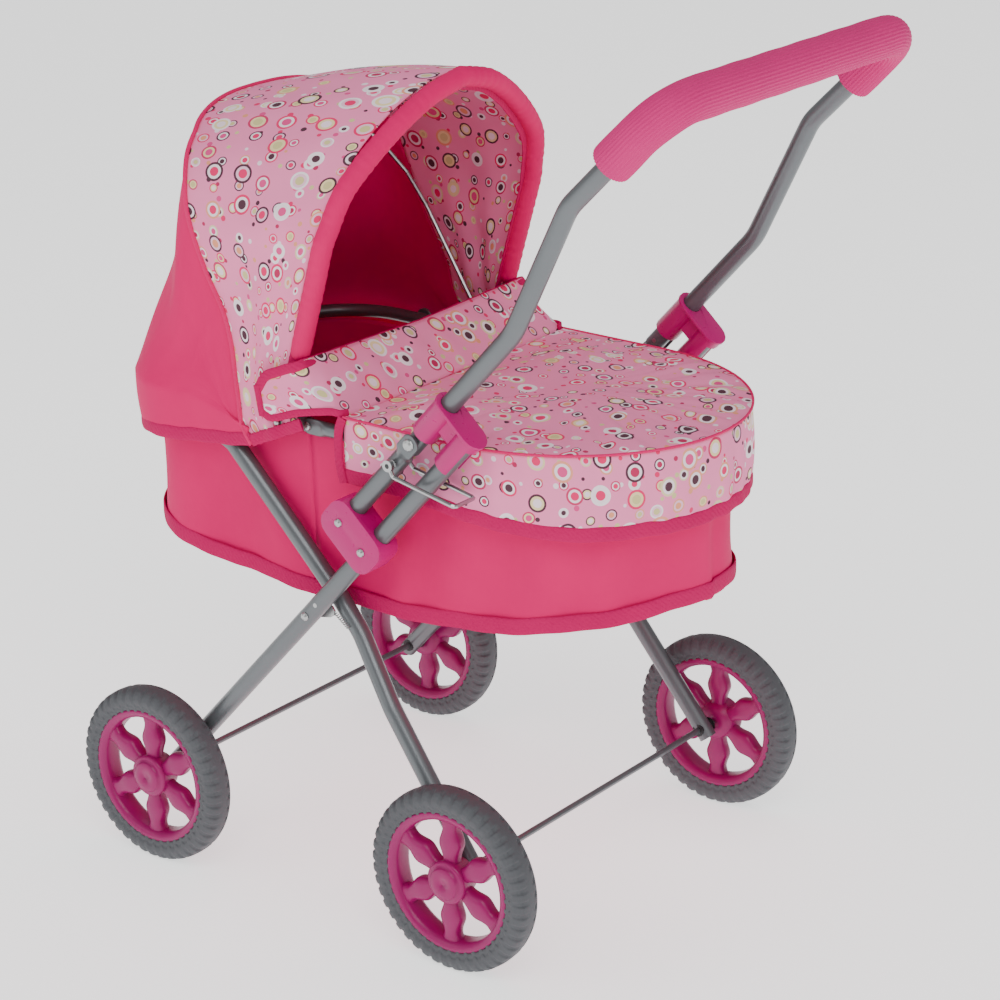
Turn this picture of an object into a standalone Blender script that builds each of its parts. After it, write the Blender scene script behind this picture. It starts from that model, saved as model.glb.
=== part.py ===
"""A doll's pram on a folding X frame, built as separate parts.

Metres, +Z up.  +X is the pusher's left, -Y the front (hood end), +Y the handle end.  The frame is
drawn with y = 0 midway between the axles, and the empty "pram" then moves it so that the origin is at
the middle of the whole pram's footprint, on the floor.
"""

import math

import bmesh
import bpy
from mathutils import Matrix, Vector

# ---- general ----
GAP = 0.0003                    # air between parts that touch
PIN_PLAY = 0.0001               # between a pin and its hole
TUBE_R = 0.00635                # frame tube, 1/2 inch
HOOP_R = 0.00475                # basket hoop tube
AXLE_R = 0.00225
WIRE_R = 0.0015                 # catch wire
BOW_R = 0.0016                  # hood wire
FLAT = 0.0022                   # thickness of a tube end crushed flat
CLOTH = 0.0014                  # thickness of a cloth wall
TUBE_SIDES = 14
WIRE_SIDES = 8

# ---- wheels ----
WHEEL_R = 0.0635
TYRE_WIDTH = 0.0205
TYRE_DEPTH = 0.0150
WHEEL_SEGMENTS = 24
RIM_DEPTH = 0.0055
RIM_WIDTH = 0.0170
SPOKES = 6
SPOKE_WIDTH = 0.0130
SPOKE_THICKNESS = 0.0090
HUB_R = 0.0135
HUB_PROUD = 0.0120              # face of the round cap, from the middle of the wheel
WHEELBASE = 0.2667
FRONT_WHEEL_PLAY = 0.0012       # leg to tyre, sideways
REAR_WHEEL_PLAY = 0.0034
BUSH_R = 0.0044
BUSH_FLANGE_R = 0.0056
BUSH_FLANGE = 0.0009

# ---- front frame: one straight line from the front axle up to the lock ----
FRAME_X = 0.1330                # middle of the front leg tube, each side
LEG_ANGLE = math.radians(47.6)
LEG_TOP = 0.3950                # distances along the leg, from the axle
LINK_OFFSET = 0.0246            # link tube and handle tube, up and forward of the leg
LINK_X = 0.0015                 # link tube, outboard of the leg
BRACKET = (0.2620, 0.2920)
BRACKET_HALF = 0.0094
BRACKET_RIM = 0.0125
BRACKET_RIVET = 0.2765
LINK_START = 0.2640
TAB_PIVOT = 0.3640
TAB_HALF = 0.0066
LOCK = (0.3735, 0.4040)
LOCK_WALL = 0.0027
LOCK_PLATE = 0.0020
LOCK_TRAVEL = 0.0350
CROSS_PIVOT = 0.2110
LUG_RIVET = 0.1975

# ---- handle ----
HANDLE_BOTTOM = 0.3570
HANDLE_BEND = 0.4780
HANDLE_MID_ANGLE = math.radians(63.7)
HANDLE_MID_LENGTH = 0.0947
HANDLE_TOP_ANGLE = math.radians(45.0)
HANDLE_TOP_LENGTH = 0.0958
HANDLE_RADII = (0.0500, 0.0350, 0.0280, 0.0280, 0.0350, 0.0500)
GRIP_R = 0.0135
GRIP_DROP = 0.0540              # how far the grip comes down each side from the crossbar

# ---- rear legs ----
REAR_LEG_OUT = 0.0010           # at the axle, outboard of the front leg
CROSS_GAP = 0.0053              # between the leg tubes where they cross
REAR_RISE = math.radians(45.2)
REAR_KNEE = 0.0840              # pivot to knee
REAR_KNEE_INSET = 0.0050
REAR_KNEE_ANGLE = math.radians(49.4)
REAR_TOP_FLAT = 0.0300

# ---- basket hoop, in two halves hinged at the sides ----
HOOP_RISE = 0.2695              # above the axles
HOOP_INSET = 0.0195             # inboard of the front leg
HOOP_HINGE_Y = -0.0125
HOOP_REAR_Y = 0.2265
HOOP_FRONT_Y = -0.1850
HOOP_CORNER_R = 0.0600
HOOP_END_FLAT = 0.0160
HOOD_PIVOT_Y = -0.0340

# ---- soft parts ----
BASKET_GAP = 0.00065            # between the walls and the pins at the crossing
BASKET_DEPTH = 0.1170
BASKET_ROCKER = 0.5500          # rise of the floor towards the ends, per metre squared
BASKET_LOW_Y = -0.0200
APRON_FRONT_Y = 0.0200
APRON_TOP = 0.0155              # above the hoop's middle
APRON_SKIRT = 0.0300            # below the hoop's middle
APRON_PAD = 0.0075
FLAP_TOP_Y = -0.0130
FLAP_TOP = 0.0450
FLAP_TAB_Y = -0.0470
HOOD_INSET = 0.0010             # sides, inboard of the hoop's middle
HOOD_FOOT_OUT = 0.0101          # lower edge, outboard of the hoop's middle
HOOD_CAP = 0.1060
HOOD_TRIM = 0.0275              # below the hoop's middle
FRONT_BOW_ANGLE = math.radians(73.7)
FRONT_BOW_LENGTH = 0.2185
REAR_BOW_ANGLE = math.radians(122.0)
REAR_BOW_LENGTH = 0.2140
ROLL_R = 0.0070
ROLL_START = 0.0450

# ---- springs, rivets ----
RIVET_SHANK = 0.0016
RIVET_HEAD = 0.0030
PIVOT_HEAD = 0.0042
HEAD_RISE = 0.0014
SPRING_R = 0.0013
SPRING_LOW = 0.0240             # hook, below the crossing on the rear leg
LUG_HALF = 0.0045
LUG_THICK = 0.0012

# ---- derived ----
FRONT_AXLE = (-WHEELBASE / 2, WHEEL_R)
REAR_AXLE = (WHEELBASE / 2, WHEEL_R)
LEG_DIR = Vector((0, math.cos(LEG_ANGLE), math.sin(LEG_ANGLE)))
LEG_UP = Vector((0, -math.sin(LEG_ANGLE), math.cos(LEG_ANGLE)))
HOOP_Z = WHEEL_R + HOOP_RISE
HOOP_X = FRAME_X - HOOP_INSET
HOOP_OUTER = HOOP_X + HOOP_R
REAR_LEG_X = FRAME_X + REAR_LEG_OUT
CROSS_X = FRAME_X - 2 * TUBE_R - CROSS_GAP
REAR_KNEE_X = FRAME_X - REAR_KNEE_INSET
BASKET_HALF = CROSS_X - TUBE_R - BASKET_GAP
HOOD_HALF = HOOP_X - HOOD_INSET
HOOD_FOOT_HALF = HOOP_X + HOOD_FOOT_OUT
TAB_X = FRAME_X + TUBE_R + 0.0006
REAR_TAB_X = HOOP_OUTER + 0.0004
EAR_X = HOOP_OUTER + 0.0004


def on_leg(x, along, off=0.0):
    """A point placed by its distance along the front leg and its distance off it."""
    return Vector((x, *FRONT_AXLE)) + LEG_DIR * along + LEG_UP * off


CROSS = on_leg(0, CROSS_PIVOT)
HOOP_PIVOT_ALONG = (HOOP_RISE - LINK_OFFSET * math.cos(LEG_ANGLE)) / math.sin(LEG_ANGLE)
HOOP_PIVOT = on_leg(0, HOOP_PIVOT_ALONG, LINK_OFFSET)
REAR_TOP = Vector((0, CROSS.y - (HOOP_Z - CROSS.z) / math.tan(REAR_RISE), HOOP_Z))
HANDLE_PIVOT = on_leg(0, TAB_PIVOT, LINK_OFFSET)
HANDLE_TURN = on_leg(0, HANDLE_BEND, LINK_OFFSET)
HANDLE_KNEE = HANDLE_TURN + HANDLE_MID_LENGTH * Vector(
    (0, math.cos(HANDLE_MID_ANGLE), math.sin(HANDLE_MID_ANGLE)))
HANDLE_BAR = HANDLE_KNEE + HANDLE_TOP_LENGTH * Vector(
    (0, math.cos(HANDLE_TOP_ANGLE), math.sin(HANDLE_TOP_ANGLE)))
HOOD_PIVOT = Vector((0, HOOD_PIVOT_Y, HOOP_Z))
MIDDLE_Y = (HANDLE_BAR.y + GRIP_R + FRONT_AXLE[0] - WHEEL_R) / 2


# ---------------------------------------------------------------- scene and materials

def clear_scene():
    for thing in list(bpy.data.objects):
        bpy.data.objects.remove(thing, do_unlink=True)


def material(name, colour, roughness, metallic=0.0):
    made = bpy.data.materials.new(name)
    made.use_nodes = True
    shader = made.node_tree.nodes["Principled BSDF"]
    shader.inputs["Base Color"].default_value = (*colour, 1.0)
    shader.inputs["Roughness"].default_value = roughness
    shader.inputs["Metallic"].default_value = metallic
    return made


def finish(name, bm, finish_name, origin=(0, 0, 0)):
    """Makes the object from a bmesh given in place, with its origin at the point asked for."""
    bmesh.ops.recalc_face_normals(bm, faces=bm.faces)
    bm.transform(Matrix.Translation(-Vector(origin)))
    mesh = bpy.data.meshes.new(name)
    bm.to_mesh(mesh)
    bm.free()
    mesh.materials.append(MATERIALS[finish_name])
    mesh.shade_smooth()
    mesh.set_sharp_from_angle(angle=math.radians(35))
    thing = bpy.data.objects.new(name, mesh)
    thing.location = origin
    thing.parent = PRAM
    bpy.context.collection.objects.link(thing)
    return thing


def combine(thing, tool_bm, operation):
    """Cuts or joins a closed tool, given in place, into an object."""
    bmesh.ops.recalc_face_normals(tool_bm, faces=tool_bm.faces)
    tool_bm.transform(Matrix.Translation(-thing.location))
    mesh = bpy.data.meshes.new("tool")
    tool_bm.to_mesh(mesh)
    tool_bm.free()
    tool = bpy.data.objects.new("tool", mesh)
    tool.location = thing.location
    tool.parent = PRAM
    bpy.context.collection.objects.link(tool)
    modifier = thing.modifiers.new("combine", "BOOLEAN")
    modifier.operation = operation
    modifier.object = tool
    bpy.context.view_layer.update()
    shaped = thing.evaluated_get(bpy.context.evaluated_depsgraph_get())
    result = bpy.data.meshes.new_from_object(shaped)
    thing.modifiers.clear()
    old = thing.data
    thing.data = result
    bpy.data.meshes.remove(old)
    bpy.data.objects.remove(tool, do_unlink=True)
    bpy.data.meshes.remove(mesh)


# ---------------------------------------------------------------- shapes

def loft(rings, closed=False):
    """Skins rings of points; an open run is capped at both ends."""
    bm = bmesh.new()
    rows = [[bm.verts.new(point) for point in ring] for ring in rings]
    pairs = list(zip(rows, rows[1:] + rows[:1])) if closed else list(zip(rows, rows[1:]))
    for row, after in pairs:
        for i in range(len(row)):
            j = (i + 1) % len(row)
            bm.faces.new((row[i], row[j], after[j], after[i]))
    if not closed:
        bm.faces.new(rows[0])
        bm.faces.new(rows[-1])
    return bm


def ring(centre, side, up, half_side, half_up, sides, power=1.0):
    """A ring of points; a power under 1 squares the oval."""
    points = []
    for i in range(sides):
        a = 2 * math.pi * (i + 0.5) / sides
        c, s = math.cos(a), math.sin(a)
        across = math.copysign(abs(c) ** power, c) * half_side
        along = math.copysign(abs(s) ** power, s) * half_up
        points.append(centre + side * across + up * along)
    return points


def rounded(points, radius, steps=4):
    """A polyline with each inner corner turned into an arc; the radius may differ at each."""
    path = [Vector(points[0])]
    radii = radius if isinstance(radius, tuple) else (radius,) * len(points)
    for before, corner, after, radius in zip(points, points[1:], points[2:], radii):
        corner = Vector(corner)
        back = (Vector(before) - corner).normalized()
        on = (Vector(after) - corner).normalized()
        half = back.angle(on) / 2
        if math.pi / 2 - half < 1e-3:
            continue
        centre = corner + (back + on).normalized() * (radius / math.sin(half))
        start = corner + back * (radius / math.tan(half)) - centre
        end = corner + on * (radius / math.tan(half)) - centre
        path += [centre + start.slerp(end, i / steps) * radius / start.slerp(end, i / steps).length
                 for i in range(steps + 1)]
    path.append(Vector(points[-1]))
    return path


def tangents(path):
    steps = [(b - a).normalized() for a, b in zip(path, path[1:])]
    inner = [(a + b).normalized() for a, b in zip(steps, steps[1:])]
    return [steps[0], *inner, steps[-1]]


def sweep(path, radius, sides=TUBE_SIDES, up=Vector((1, 0, 0)), shapes=None):
    """Rings along a path.  The up direction is carried along it; shapes can give each ring its
    (half across, half along up, power, shift) in place of a circle."""
    rings = []
    carried = Vector(up)
    for i, (point, tangent) in enumerate(zip(path, tangents(path))):
        carried = (carried - tangent * carried.dot(tangent)).normalized()
        side = tangent.cross(carried)
        across, along, power, shift = shapes[i] if shapes else (radius, radius, 1.0, (0, 0, 0))
        rings.append(ring(point + Vector(shift), side, carried, across, along, sides, power))
    return rings


def pipe(path, outer, inner, sides=TUBE_SIDES, up=Vector((1, 0, 0))):
    """A tube wall along a path, open at both ends."""
    outside = sweep(path, outer, sides, up)
    inside = sweep(path, inner, sides, up)
    return loft(outside + inside[::-1], closed=True)


def bar_x(centre, radius, x0, x1, sides=12):
    """A bar along X through a point in the side view."""
    across, upright = Vector((0, 1, 0)), Vector((0, 0, 1))
    ends = [Vector((x, centre[-2], centre[-1])) for x in (x0, x1)]
    return loft([ring(end, across, upright, radius, radius, sides) for end in ends])


def drill(thing, centre, radius, x0, x1, sides=12):
    combine(thing, bar_x(centre, radius, x0, x1, sides), "DIFFERENCE")


def rivet(name, centre, head_x, tip_x, head=RIVET_HEAD, shank=RIVET_SHANK):
    """A domed rivet along X: its head lies on the face at head_x and its shank ends at tip_x."""
    outward = math.copysign(1, head_x - tip_x)
    face = head_x + outward * GAP
    profile = [(tip_x, shank), (face, shank), (face, head), (face + outward * HEAD_RISE * 0.6, head * 0.85),
               (face + outward * HEAD_RISE, head * 0.45)]
    across, upright = Vector((0, 1, 0)), Vector((0, 0, 1))
    rings = [ring(Vector((x, centre.y, centre.z)), across, upright, r, r, 10) for x, r in profile]
    return finish(name, loft(rings), "steel", (face, centre.y, centre.z))


def box(low, high):
    bm = bmesh.new()
    bmesh.ops.create_cube(bm, size=1)
    low, high = Vector(low), Vector(high)
    bm.transform(Matrix.Translation((low + high) / 2) @ Matrix.Diagonal((*(high - low), 1)))
    return bm


def prism(outline, x0, x1):
    """A side-view outline of (y, z) points, drawn out along X."""
    return loft([[Vector((x, y, z)) for y, z in outline] for x in (x0, x1)])


def cloth(grid):
    """A closed cloth wall: a grid of points and the same grid one thickness in."""
    rows, columns = len(grid), len(grid[0])
    inner = []
    for i in range(rows):
        line = []
        for j in range(columns):
            down = grid[min(i + 1, rows - 1)][j] - grid[max(i - 1, 0)][j]
            along = grid[i][min(j + 1, columns - 1)] - grid[i][max(j - 1, 0)]
            line.append(grid[i][j] - down.cross(along).normalized() * CLOTH)
        inner.append(line)
    bm = bmesh.new()
    top = [[bm.verts.new(point) for point in row] for row in grid]
    low = [[bm.verts.new(point) for point in row] for row in inner]
    for i in range(rows - 1):
        for j in range(columns - 1):
            bm.faces.new((top[i][j], top[i][j + 1], top[i + 1][j + 1], top[i + 1][j]))
            bm.faces.new((low[i][j], low[i + 1][j], low[i + 1][j + 1], low[i][j + 1]))
    for i in range(rows - 1):
        for j in (0, columns - 1):
            bm.faces.new((top[i][j], top[i + 1][j], low[i + 1][j], low[i][j]))
    for j in range(columns - 1):
        for i in (0, rows - 1):
            bm.faces.new((top[i][j], top[i][j + 1], low[i][j + 1], low[i][j]))
    return bm


# ---------------------------------------------------------------- wheels

def turned(profile, centre, segments=WHEEL_SEGMENTS):
    """A closed profile of (x, radius) turned about the X axis, with a flat at the bottom."""
    swell = 1 / math.cos(math.pi / segments)
    rings = []
    for i in range(segments):
        a = 2 * math.pi * (i + 0.5) / segments - math.pi / 2
        rings.append([Vector((centre.x + x, centre.y + r * swell * math.cos(a),
                              centre.z + r * swell * math.sin(a))) for x, r in profile])
    return loft(rings, closed=True)


def tyre(name, centre):
    half = TYRE_WIDTH / 2
    seat = WHEEL_R - TYRE_DEPTH
    profile = [(-half * 0.72, WHEEL_R), (half * 0.72, WHEEL_R), (half, WHEEL_R - 0.0055),
               (half, seat + 0.003), (half * 0.8, seat), (-half * 0.8, seat), (-half, seat + 0.003),
               (-half, WHEEL_R - 0.0055)]
    return finish(name, turned(profile, centre), "tyre", centre)


def wheel_hub(name, centre, outward):
    """Rim ring, spokes and boss in one moulding, with a round cap on the outer face."""
    outer = WHEEL_R - TYRE_DEPTH - GAP
    half = RIM_WIDTH / 2
    bore = AXLE_R + PIN_PLAY
    rim = [(-half, outer), (half, outer), (half, outer - RIM_DEPTH), (-half, outer - RIM_DEPTH)]
    hub = finish(name, turned(rim, centre), "magenta", centre)
    boss = bar_x(centre, HUB_R, centre.x - outward * half * 0.9, centre.x + outward * HUB_PROUD, 20)
    for k in range(SPOKES):
        a = math.pi / 2 + 2 * math.pi * k / SPOKES
        spoke = box((-SPOKE_THICKNESS / 2, -SPOKE_WIDTH / 2, HUB_R * 0.5),
                    (SPOKE_THICKNESS / 2, SPOKE_WIDTH / 2, outer - RIM_DEPTH * 0.5))
        spoke.transform(Matrix.Translation(centre) @ Matrix.Rotation(a - math.pi / 2, 4, "X"))
        combine(hub, spoke, "UNION")
    combine(hub, boss, "UNION")
    drill(hub, centre, bore, centre.x - outward * (half + 0.001), centre.x + outward * half * 0.75)
    return hub


def make_wheels():
    places = {"front": (FRONT_AXLE, FRAME_X + TUBE_R + FRONT_WHEEL_PLAY),
              "rear": (REAR_AXLE, REAR_LEG_X + TUBE_R + REAR_WHEEL_PLAY)}
    for end, (axle, inner_face) in places.items():
        middle = inner_face + TYRE_WIDTH / 2
        tip = middle + RIM_WIDTH / 2 * 0.75 - 0.0008
        finish(f"{end}_axle", bar_x(axle, AXLE_R, -tip, tip), "steel", (0, *axle))
        for side, sign in (("left", 1), ("right", -1)):
            centre = Vector((sign * middle, *axle))
            tyre(f"{end}_tyre_{side}", centre)
            wheel_hub(f"{end}_wheel_{side}", centre, sign)


def bush(name, leg_x, axle, sign):
    """A plastic sleeve with a flange, lining the leg's axle hole."""
    outer, inner = BUSH_R, AXLE_R + PIN_PLAY
    face = leg_x + TUBE_R + GAP
    profile = [(leg_x - TUBE_R, inner), (leg_x - TUBE_R, outer), (face, outer), (face, BUSH_FLANGE_R),
               (face + BUSH_FLANGE - GAP, BUSH_FLANGE_R), (face + BUSH_FLANGE - GAP, inner)]
    centre = Vector((0, *axle))
    bm = turned([(sign * x, r) for x, r in profile], centre, 12)
    return finish(name, bm, "dark_plastic", (sign * leg_x, *axle))


# ---------------------------------------------------------------- front frame

def crushed(x_inner, centre_x, sign):
    """The ring shape of a tube end pressed flat, with its inner face at x_inner."""
    return (TAB_HALF, FLAT / 2, 0.5, (sign * (x_inner + FLAT / 2 - centre_x), 0, 0))


def front_leg(side, sign):
    path = [on_leg(sign * FRAME_X, a) for a in (-BUSH_FLANGE_R - 0.002, LEG_TOP)]
    leg = finish(f"front_leg_{side}", loft(sweep(path, TUBE_R)), "paint", path[1])
    drill(leg, FRONT_AXLE, BUSH_R + GAP, *hole_span(sign, FRAME_X, 0.01))
    drill(leg, on_leg(0, BRACKET_RIVET), RIVET_SHANK + PIN_PLAY, *hole_span(sign, FRAME_X, 0.01))
    drill(leg, CROSS, RIVET_SHANK + PIN_PLAY, *hole_span(sign, FRAME_X, 0.01))
    drill(leg, on_leg(0, LUG_RIVET), RIVET_SHANK + PIN_PLAY, *hole_span(sign, FRAME_X, 0.01))
    bush(f"front_bush_{side}", FRAME_X, FRONT_AXLE, sign)


def hole_span(sign, x, half):
    return sign * (x - half), sign * (x + half)


def link_tube(side, sign):
    """The short tube between bracket and handle, its upper end crushed into a riveted tab."""
    x = FRAME_X + LINK_X
    stations = (LINK_START, HANDLE_BOTTOM - 0.0080, HANDLE_BOTTOM - 0.0006, TAB_PIVOT + 0.003,
                TAB_PIVOT + TAB_HALF)
    path = [on_leg(sign * x, a, LINK_OFFSET) for a in stations]
    full = (TUBE_R, TUBE_R, 1.0, (0, 0, 0))
    tab = crushed(TAB_X, x, sign)
    shapes = [full, full, tab, tab, (TAB_HALF * 0.6, *tab[1:])]
    link = finish(f"link_tube_{side}", loft(sweep(path, TUBE_R, shapes=shapes)), "paint", path[0])
    drill(link, HANDLE_PIVOT, RIVET_SHANK + PIN_PLAY, *hole_span(sign, x, 0.01))
    drill(link, HOOP_PIVOT, RIVET_SHANK + PIN_PLAY, *hole_span(sign, x, 0.01))
    drill(link, on_leg(0, BRACKET_RIVET, LINK_OFFSET), RIVET_SHANK + PIN_PLAY, *hole_span(sign, x, 0.01))
    return link


def bracket(side, sign):
    """The moulded block that holds leg and link tube side by side."""
    middle = FRAME_X + LINK_X / 2
    low, high = BRACKET
    back, front = -BRACKET_RIM, LINK_OFFSET + BRACKET_RIM
    corners = [(high, back), (high, front), (low, front), (low, back)]
    loop = [on_leg(0, *corners[i % 4]) for i in range(-1, 5)]
    soft = rounded(loop, BRACKET_RIM * 0.8)[1:-1]
    outline = [(p.y, p.z) for p in soft]
    half = BRACKET_HALF
    block = finish(f"bracket_{side}", prism(outline, sign * (middle - half), sign * (middle + half)),
                   "magenta", on_leg(sign * middle, low, 0))
    bore = TUBE_R + GAP
    through = [on_leg(sign * FRAME_X, a) for a in (low - 0.01, high + 0.01)]
    combine(block, loft(sweep(through, bore)), "DIFFERENCE")
    x = sign * (FRAME_X + LINK_X)
    blind = [on_leg(x, a, LINK_OFFSET) for a in (LINK_START - GAP, high + 0.01)]
    combine(block, loft(sweep(blind, bore)), "DIFFERENCE")
    for off, word in ((0, "leg"), (LINK_OFFSET, "link")):
        centre = on_leg(0, BRACKET_RIVET, off)
        drill(block, centre, RIVET_SHANK + PIN_PLAY, *hole_span(sign, middle, 0.015))
        rivet(f"bracket_rivet_{word}_{side}", centre, sign * (middle + half), sign * (middle - half))


def spring_and_lug(side, sign):
    """The tension spring beside the crossing, and the lug riveted to the front leg that it hooks to."""
    inner = FRAME_X - TUBE_R - GAP
    hook = on_leg(0, LUG_RIVET + 0.0085, -0.0062)
    rivet_at = on_leg(0, LUG_RIVET)
    reach = (rivet_at - hook).normalized()
    across = Vector((0, -reach.z, reach.y)) * LUG_HALF
    arc = [(hook, a) for a in (180, 225, 270, 315, 360)] + [(rivet_at, a) for a in (0, 45, 90, 135, 180)]
    outline = []
    for centre, degrees in arc:
        a = math.radians(degrees)
        point = centre + across * math.cos(a) + reach * LUG_HALF * math.sin(a)
        outline.append((point.y, point.z))
    lug = finish(f"spring_lug_{side}", prism(outline, sign * (inner - LUG_THICK), sign * inner), "steel",
                 (sign * inner, hook.y, hook.z))
    drill(lug, rivet_at, RIVET_SHANK + PIN_PLAY, *hole_span(sign, inner, 0.005))
    rivet(f"lug_rivet_{side}", rivet_at, sign * (FRAME_X + TUBE_R), sign * (inner - LUG_THICK))
    low = rear_leg_point(SPRING_LOW)
    pull = (low - hook).normalized()
    x = sign * (inner - LUG_THICK - GAP - SPRING_R)
    path = [Vector((x, *(hook - pull * 0.001).yz)), Vector((x, *low.yz))]
    finish(f"spring_{side}", loft(sweep(path, SPRING_R, 10)), "steel", path[0])


def make_frame():
    for side, sign in (("left", 1), ("right", -1)):
        front_leg(side, sign)
        link_tube(side, sign)
        bracket(side, sign)
        spring_and_lug(side, sign)
        pin = bar_x(CROSS, RIVET_SHANK, sign * (CROSS_X - TUBE_R), sign * (FRAME_X + TUBE_R))
        finish(f"cross_pivot_{side}", pin, "steel", (sign * FRAME_X, *CROSS.yz))
        rivet(f"hoop_pivot_{side}", HOOP_PIVOT, sign * (FRAME_X + LINK_X + TUBE_R),
              sign * (HOOP_X - HOOP_R))


# ---------------------------------------------------------------- rear legs

def rear_leg_point(below):
    """A point on the rear leg's middle line, below the crossing."""
    return CROSS + Vector((0, math.cos(REAR_KNEE_ANGLE), -math.sin(REAR_KNEE_ANGLE))) * below


def rear_leg(side, sign):
    knee = rear_leg_point(REAR_KNEE)
    rise = Vector((0, -math.cos(REAR_RISE), math.sin(REAR_RISE)))
    top = (REAR_TOP - CROSS).length
    down = (Vector((0, *REAR_AXLE)) - knee).normalized()
    foot = Vector((0, *REAR_AXLE)) + down * (BUSH_FLANGE_R + 0.002)
    corners = [Vector((REAR_LEG_X, *foot.yz)), Vector((REAR_KNEE_X, *knee.yz)),
               Vector((CROSS_X + 0.0008, *rear_leg_point(0.030).yz)), Vector((CROSS_X, *CROSS.yz))]
    path = rounded([*corners, Vector((CROSS_X, *(CROSS + rise * 0.05).yz))], 0.05)[:-1]
    shapes = [(TUBE_R, TUBE_R, 1.0, (0, 0, 0))] * len(path)
    tab = crushed(REAR_TAB_X, CROSS_X, 1)
    for step, shape in ((top - REAR_TOP_FLAT - 0.012, shapes[0]), (top - REAR_TOP_FLAT, tab),
                        (top + 0.003, tab), (top + TAB_HALF, (TAB_HALF * 0.6, *tab[1:]))):
        path.append(Vector((CROSS_X, *(CROSS + rise * step).yz)))
        shapes.append(shape)
    mirror = Vector((sign, 1, 1))
    leg_path = [point * mirror for point in path]
    leg_shapes = [(a, b, c, (sign * s[0], 0, 0)) for a, b, c, s in shapes]
    leg = finish(f"rear_leg_{side}", loft(sweep(leg_path, TUBE_R, shapes=leg_shapes)), "paint",
                 (sign * CROSS_X, *CROSS.yz))
    drill(leg, REAR_AXLE, BUSH_R + GAP, *hole_span(sign, REAR_LEG_X, 0.01))
    drill(leg, CROSS, RIVET_SHANK + PIN_PLAY, *hole_span(sign, CROSS_X, 0.01))
    drill(leg, REAR_TOP, RIVET_SHANK + PIN_PLAY, *hole_span(sign, CROSS_X, 0.01))
    bush(f"rear_bush_{side}", REAR_LEG_X, REAR_AXLE, sign)
    pin = bar_x(REAR_TOP, RIVET_SHANK, sign * REAR_TAB_X, sign * (REAR_TAB_X + FLAT))
    finish(f"leg_top_pin_{side}", pin, "steel", (sign * REAR_TAB_X, *REAR_TOP.yz))


# ---------------------------------------------------------------- basket hoop

def hoop(name, corners, radius, shift, origin):
    """Half of the hoop, its two ends crushed flat for the side rivets."""
    arc = rounded(corners, radius, 8)
    start, end = arc[0], arc[-1]
    on = (arc[1] - arc[0]).normalized()
    stations = (-0.0045, 0, HOOP_END_FLAT - 0.006, HOOP_END_FLAT)
    path = [start + on * s for s in stations] + arc[1:-1] + [end + on * s for s in reversed(stations)]
    flat = (FLAT / 2, 0.0056, 0.5)
    tip = (FLAT / 2, 0.0034, 0.5)
    full = (HOOP_R, HOOP_R, 1.0, (0, 0, 0))
    right = [(*tip, (shift, 0, 0)), (*flat, (shift, 0, 0)), (*flat, (shift, 0, 0)), full]
    left = [(*tip, (-shift, 0, 0)), (*flat, (-shift, 0, 0)), (*flat, (-shift, 0, 0)), full]
    shapes = right + [full] * (len(arc) - 2) + left[::-1]
    rings = sweep(path, HOOP_R, 10, Vector((0, 0, 1)), shapes)
    return finish(name, loft(rings), "paint", origin)


def make_hoops():
    hinge = Vector((0, HOOP_HINGE_Y, HOOP_Z))
    outward = FLAT / 2 + GAP / 2
    rear = [Vector((s * HOOP_X, y, HOOP_Z)) for s, y in
            ((1, HOOP_HINGE_Y), (1, HOOP_REAR_Y), (-1, HOOP_REAR_Y), (-1, HOOP_HINGE_Y))]
    rear_hoop = hoop("rear_hoop", rear, HOOP_X - 0.001, outward, HOOP_PIVOT)
    front = [Vector((s * HOOP_X, y, HOOP_Z)) for s, y in
             ((1, HOOP_HINGE_Y), (1, HOOP_FRONT_Y), (-1, HOOP_FRONT_Y), (-1, HOOP_HINGE_Y))]
    front_hoop = hoop("front_hoop", front, HOOP_CORNER_R, -outward, hinge)
    for side, sign in (("left", 1), ("right", -1)):
        span = hole_span(sign, HOOP_X, 0.008)
        drill(rear_hoop, hinge, RIVET_SHANK + PIN_PLAY, *span)
        drill(rear_hoop, HOOP_PIVOT, RIVET_SHANK + PIN_PLAY, *span)
        drill(front_hoop, hinge, RIVET_SHANK + PIN_PLAY, *span)
        drill(front_hoop, HOOD_PIVOT, RIVET_SHANK + PIN_PLAY, *span)
        rivet(f"side_rivet_{side}", hinge, sign * (HOOP_X + outward * 2), sign * (HOOP_X - outward * 2))
        rivet(f"hood_pivot_{side}", HOOD_PIVOT, sign * (EAR_X + 2 * BOW_R),
              sign * (HOOP_X - HOOP_R - 2 * BOW_R - 2 * GAP), head=0.0026)


# ---------------------------------------------------------------- handle, locks and catches

def handle_path():
    bottom = on_leg(0, HANDLE_BOTTOM, LINK_OFFSET)
    one_side = [Vector((FRAME_X, *p.yz)) for p in (bottom, HANDLE_TURN, HANDLE_KNEE, HANDLE_BAR)]
    return rounded([*one_side, *[p * Vector((-1, 1, 1)) for p in one_side[::-1]]], HANDLE_RADII)


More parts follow.
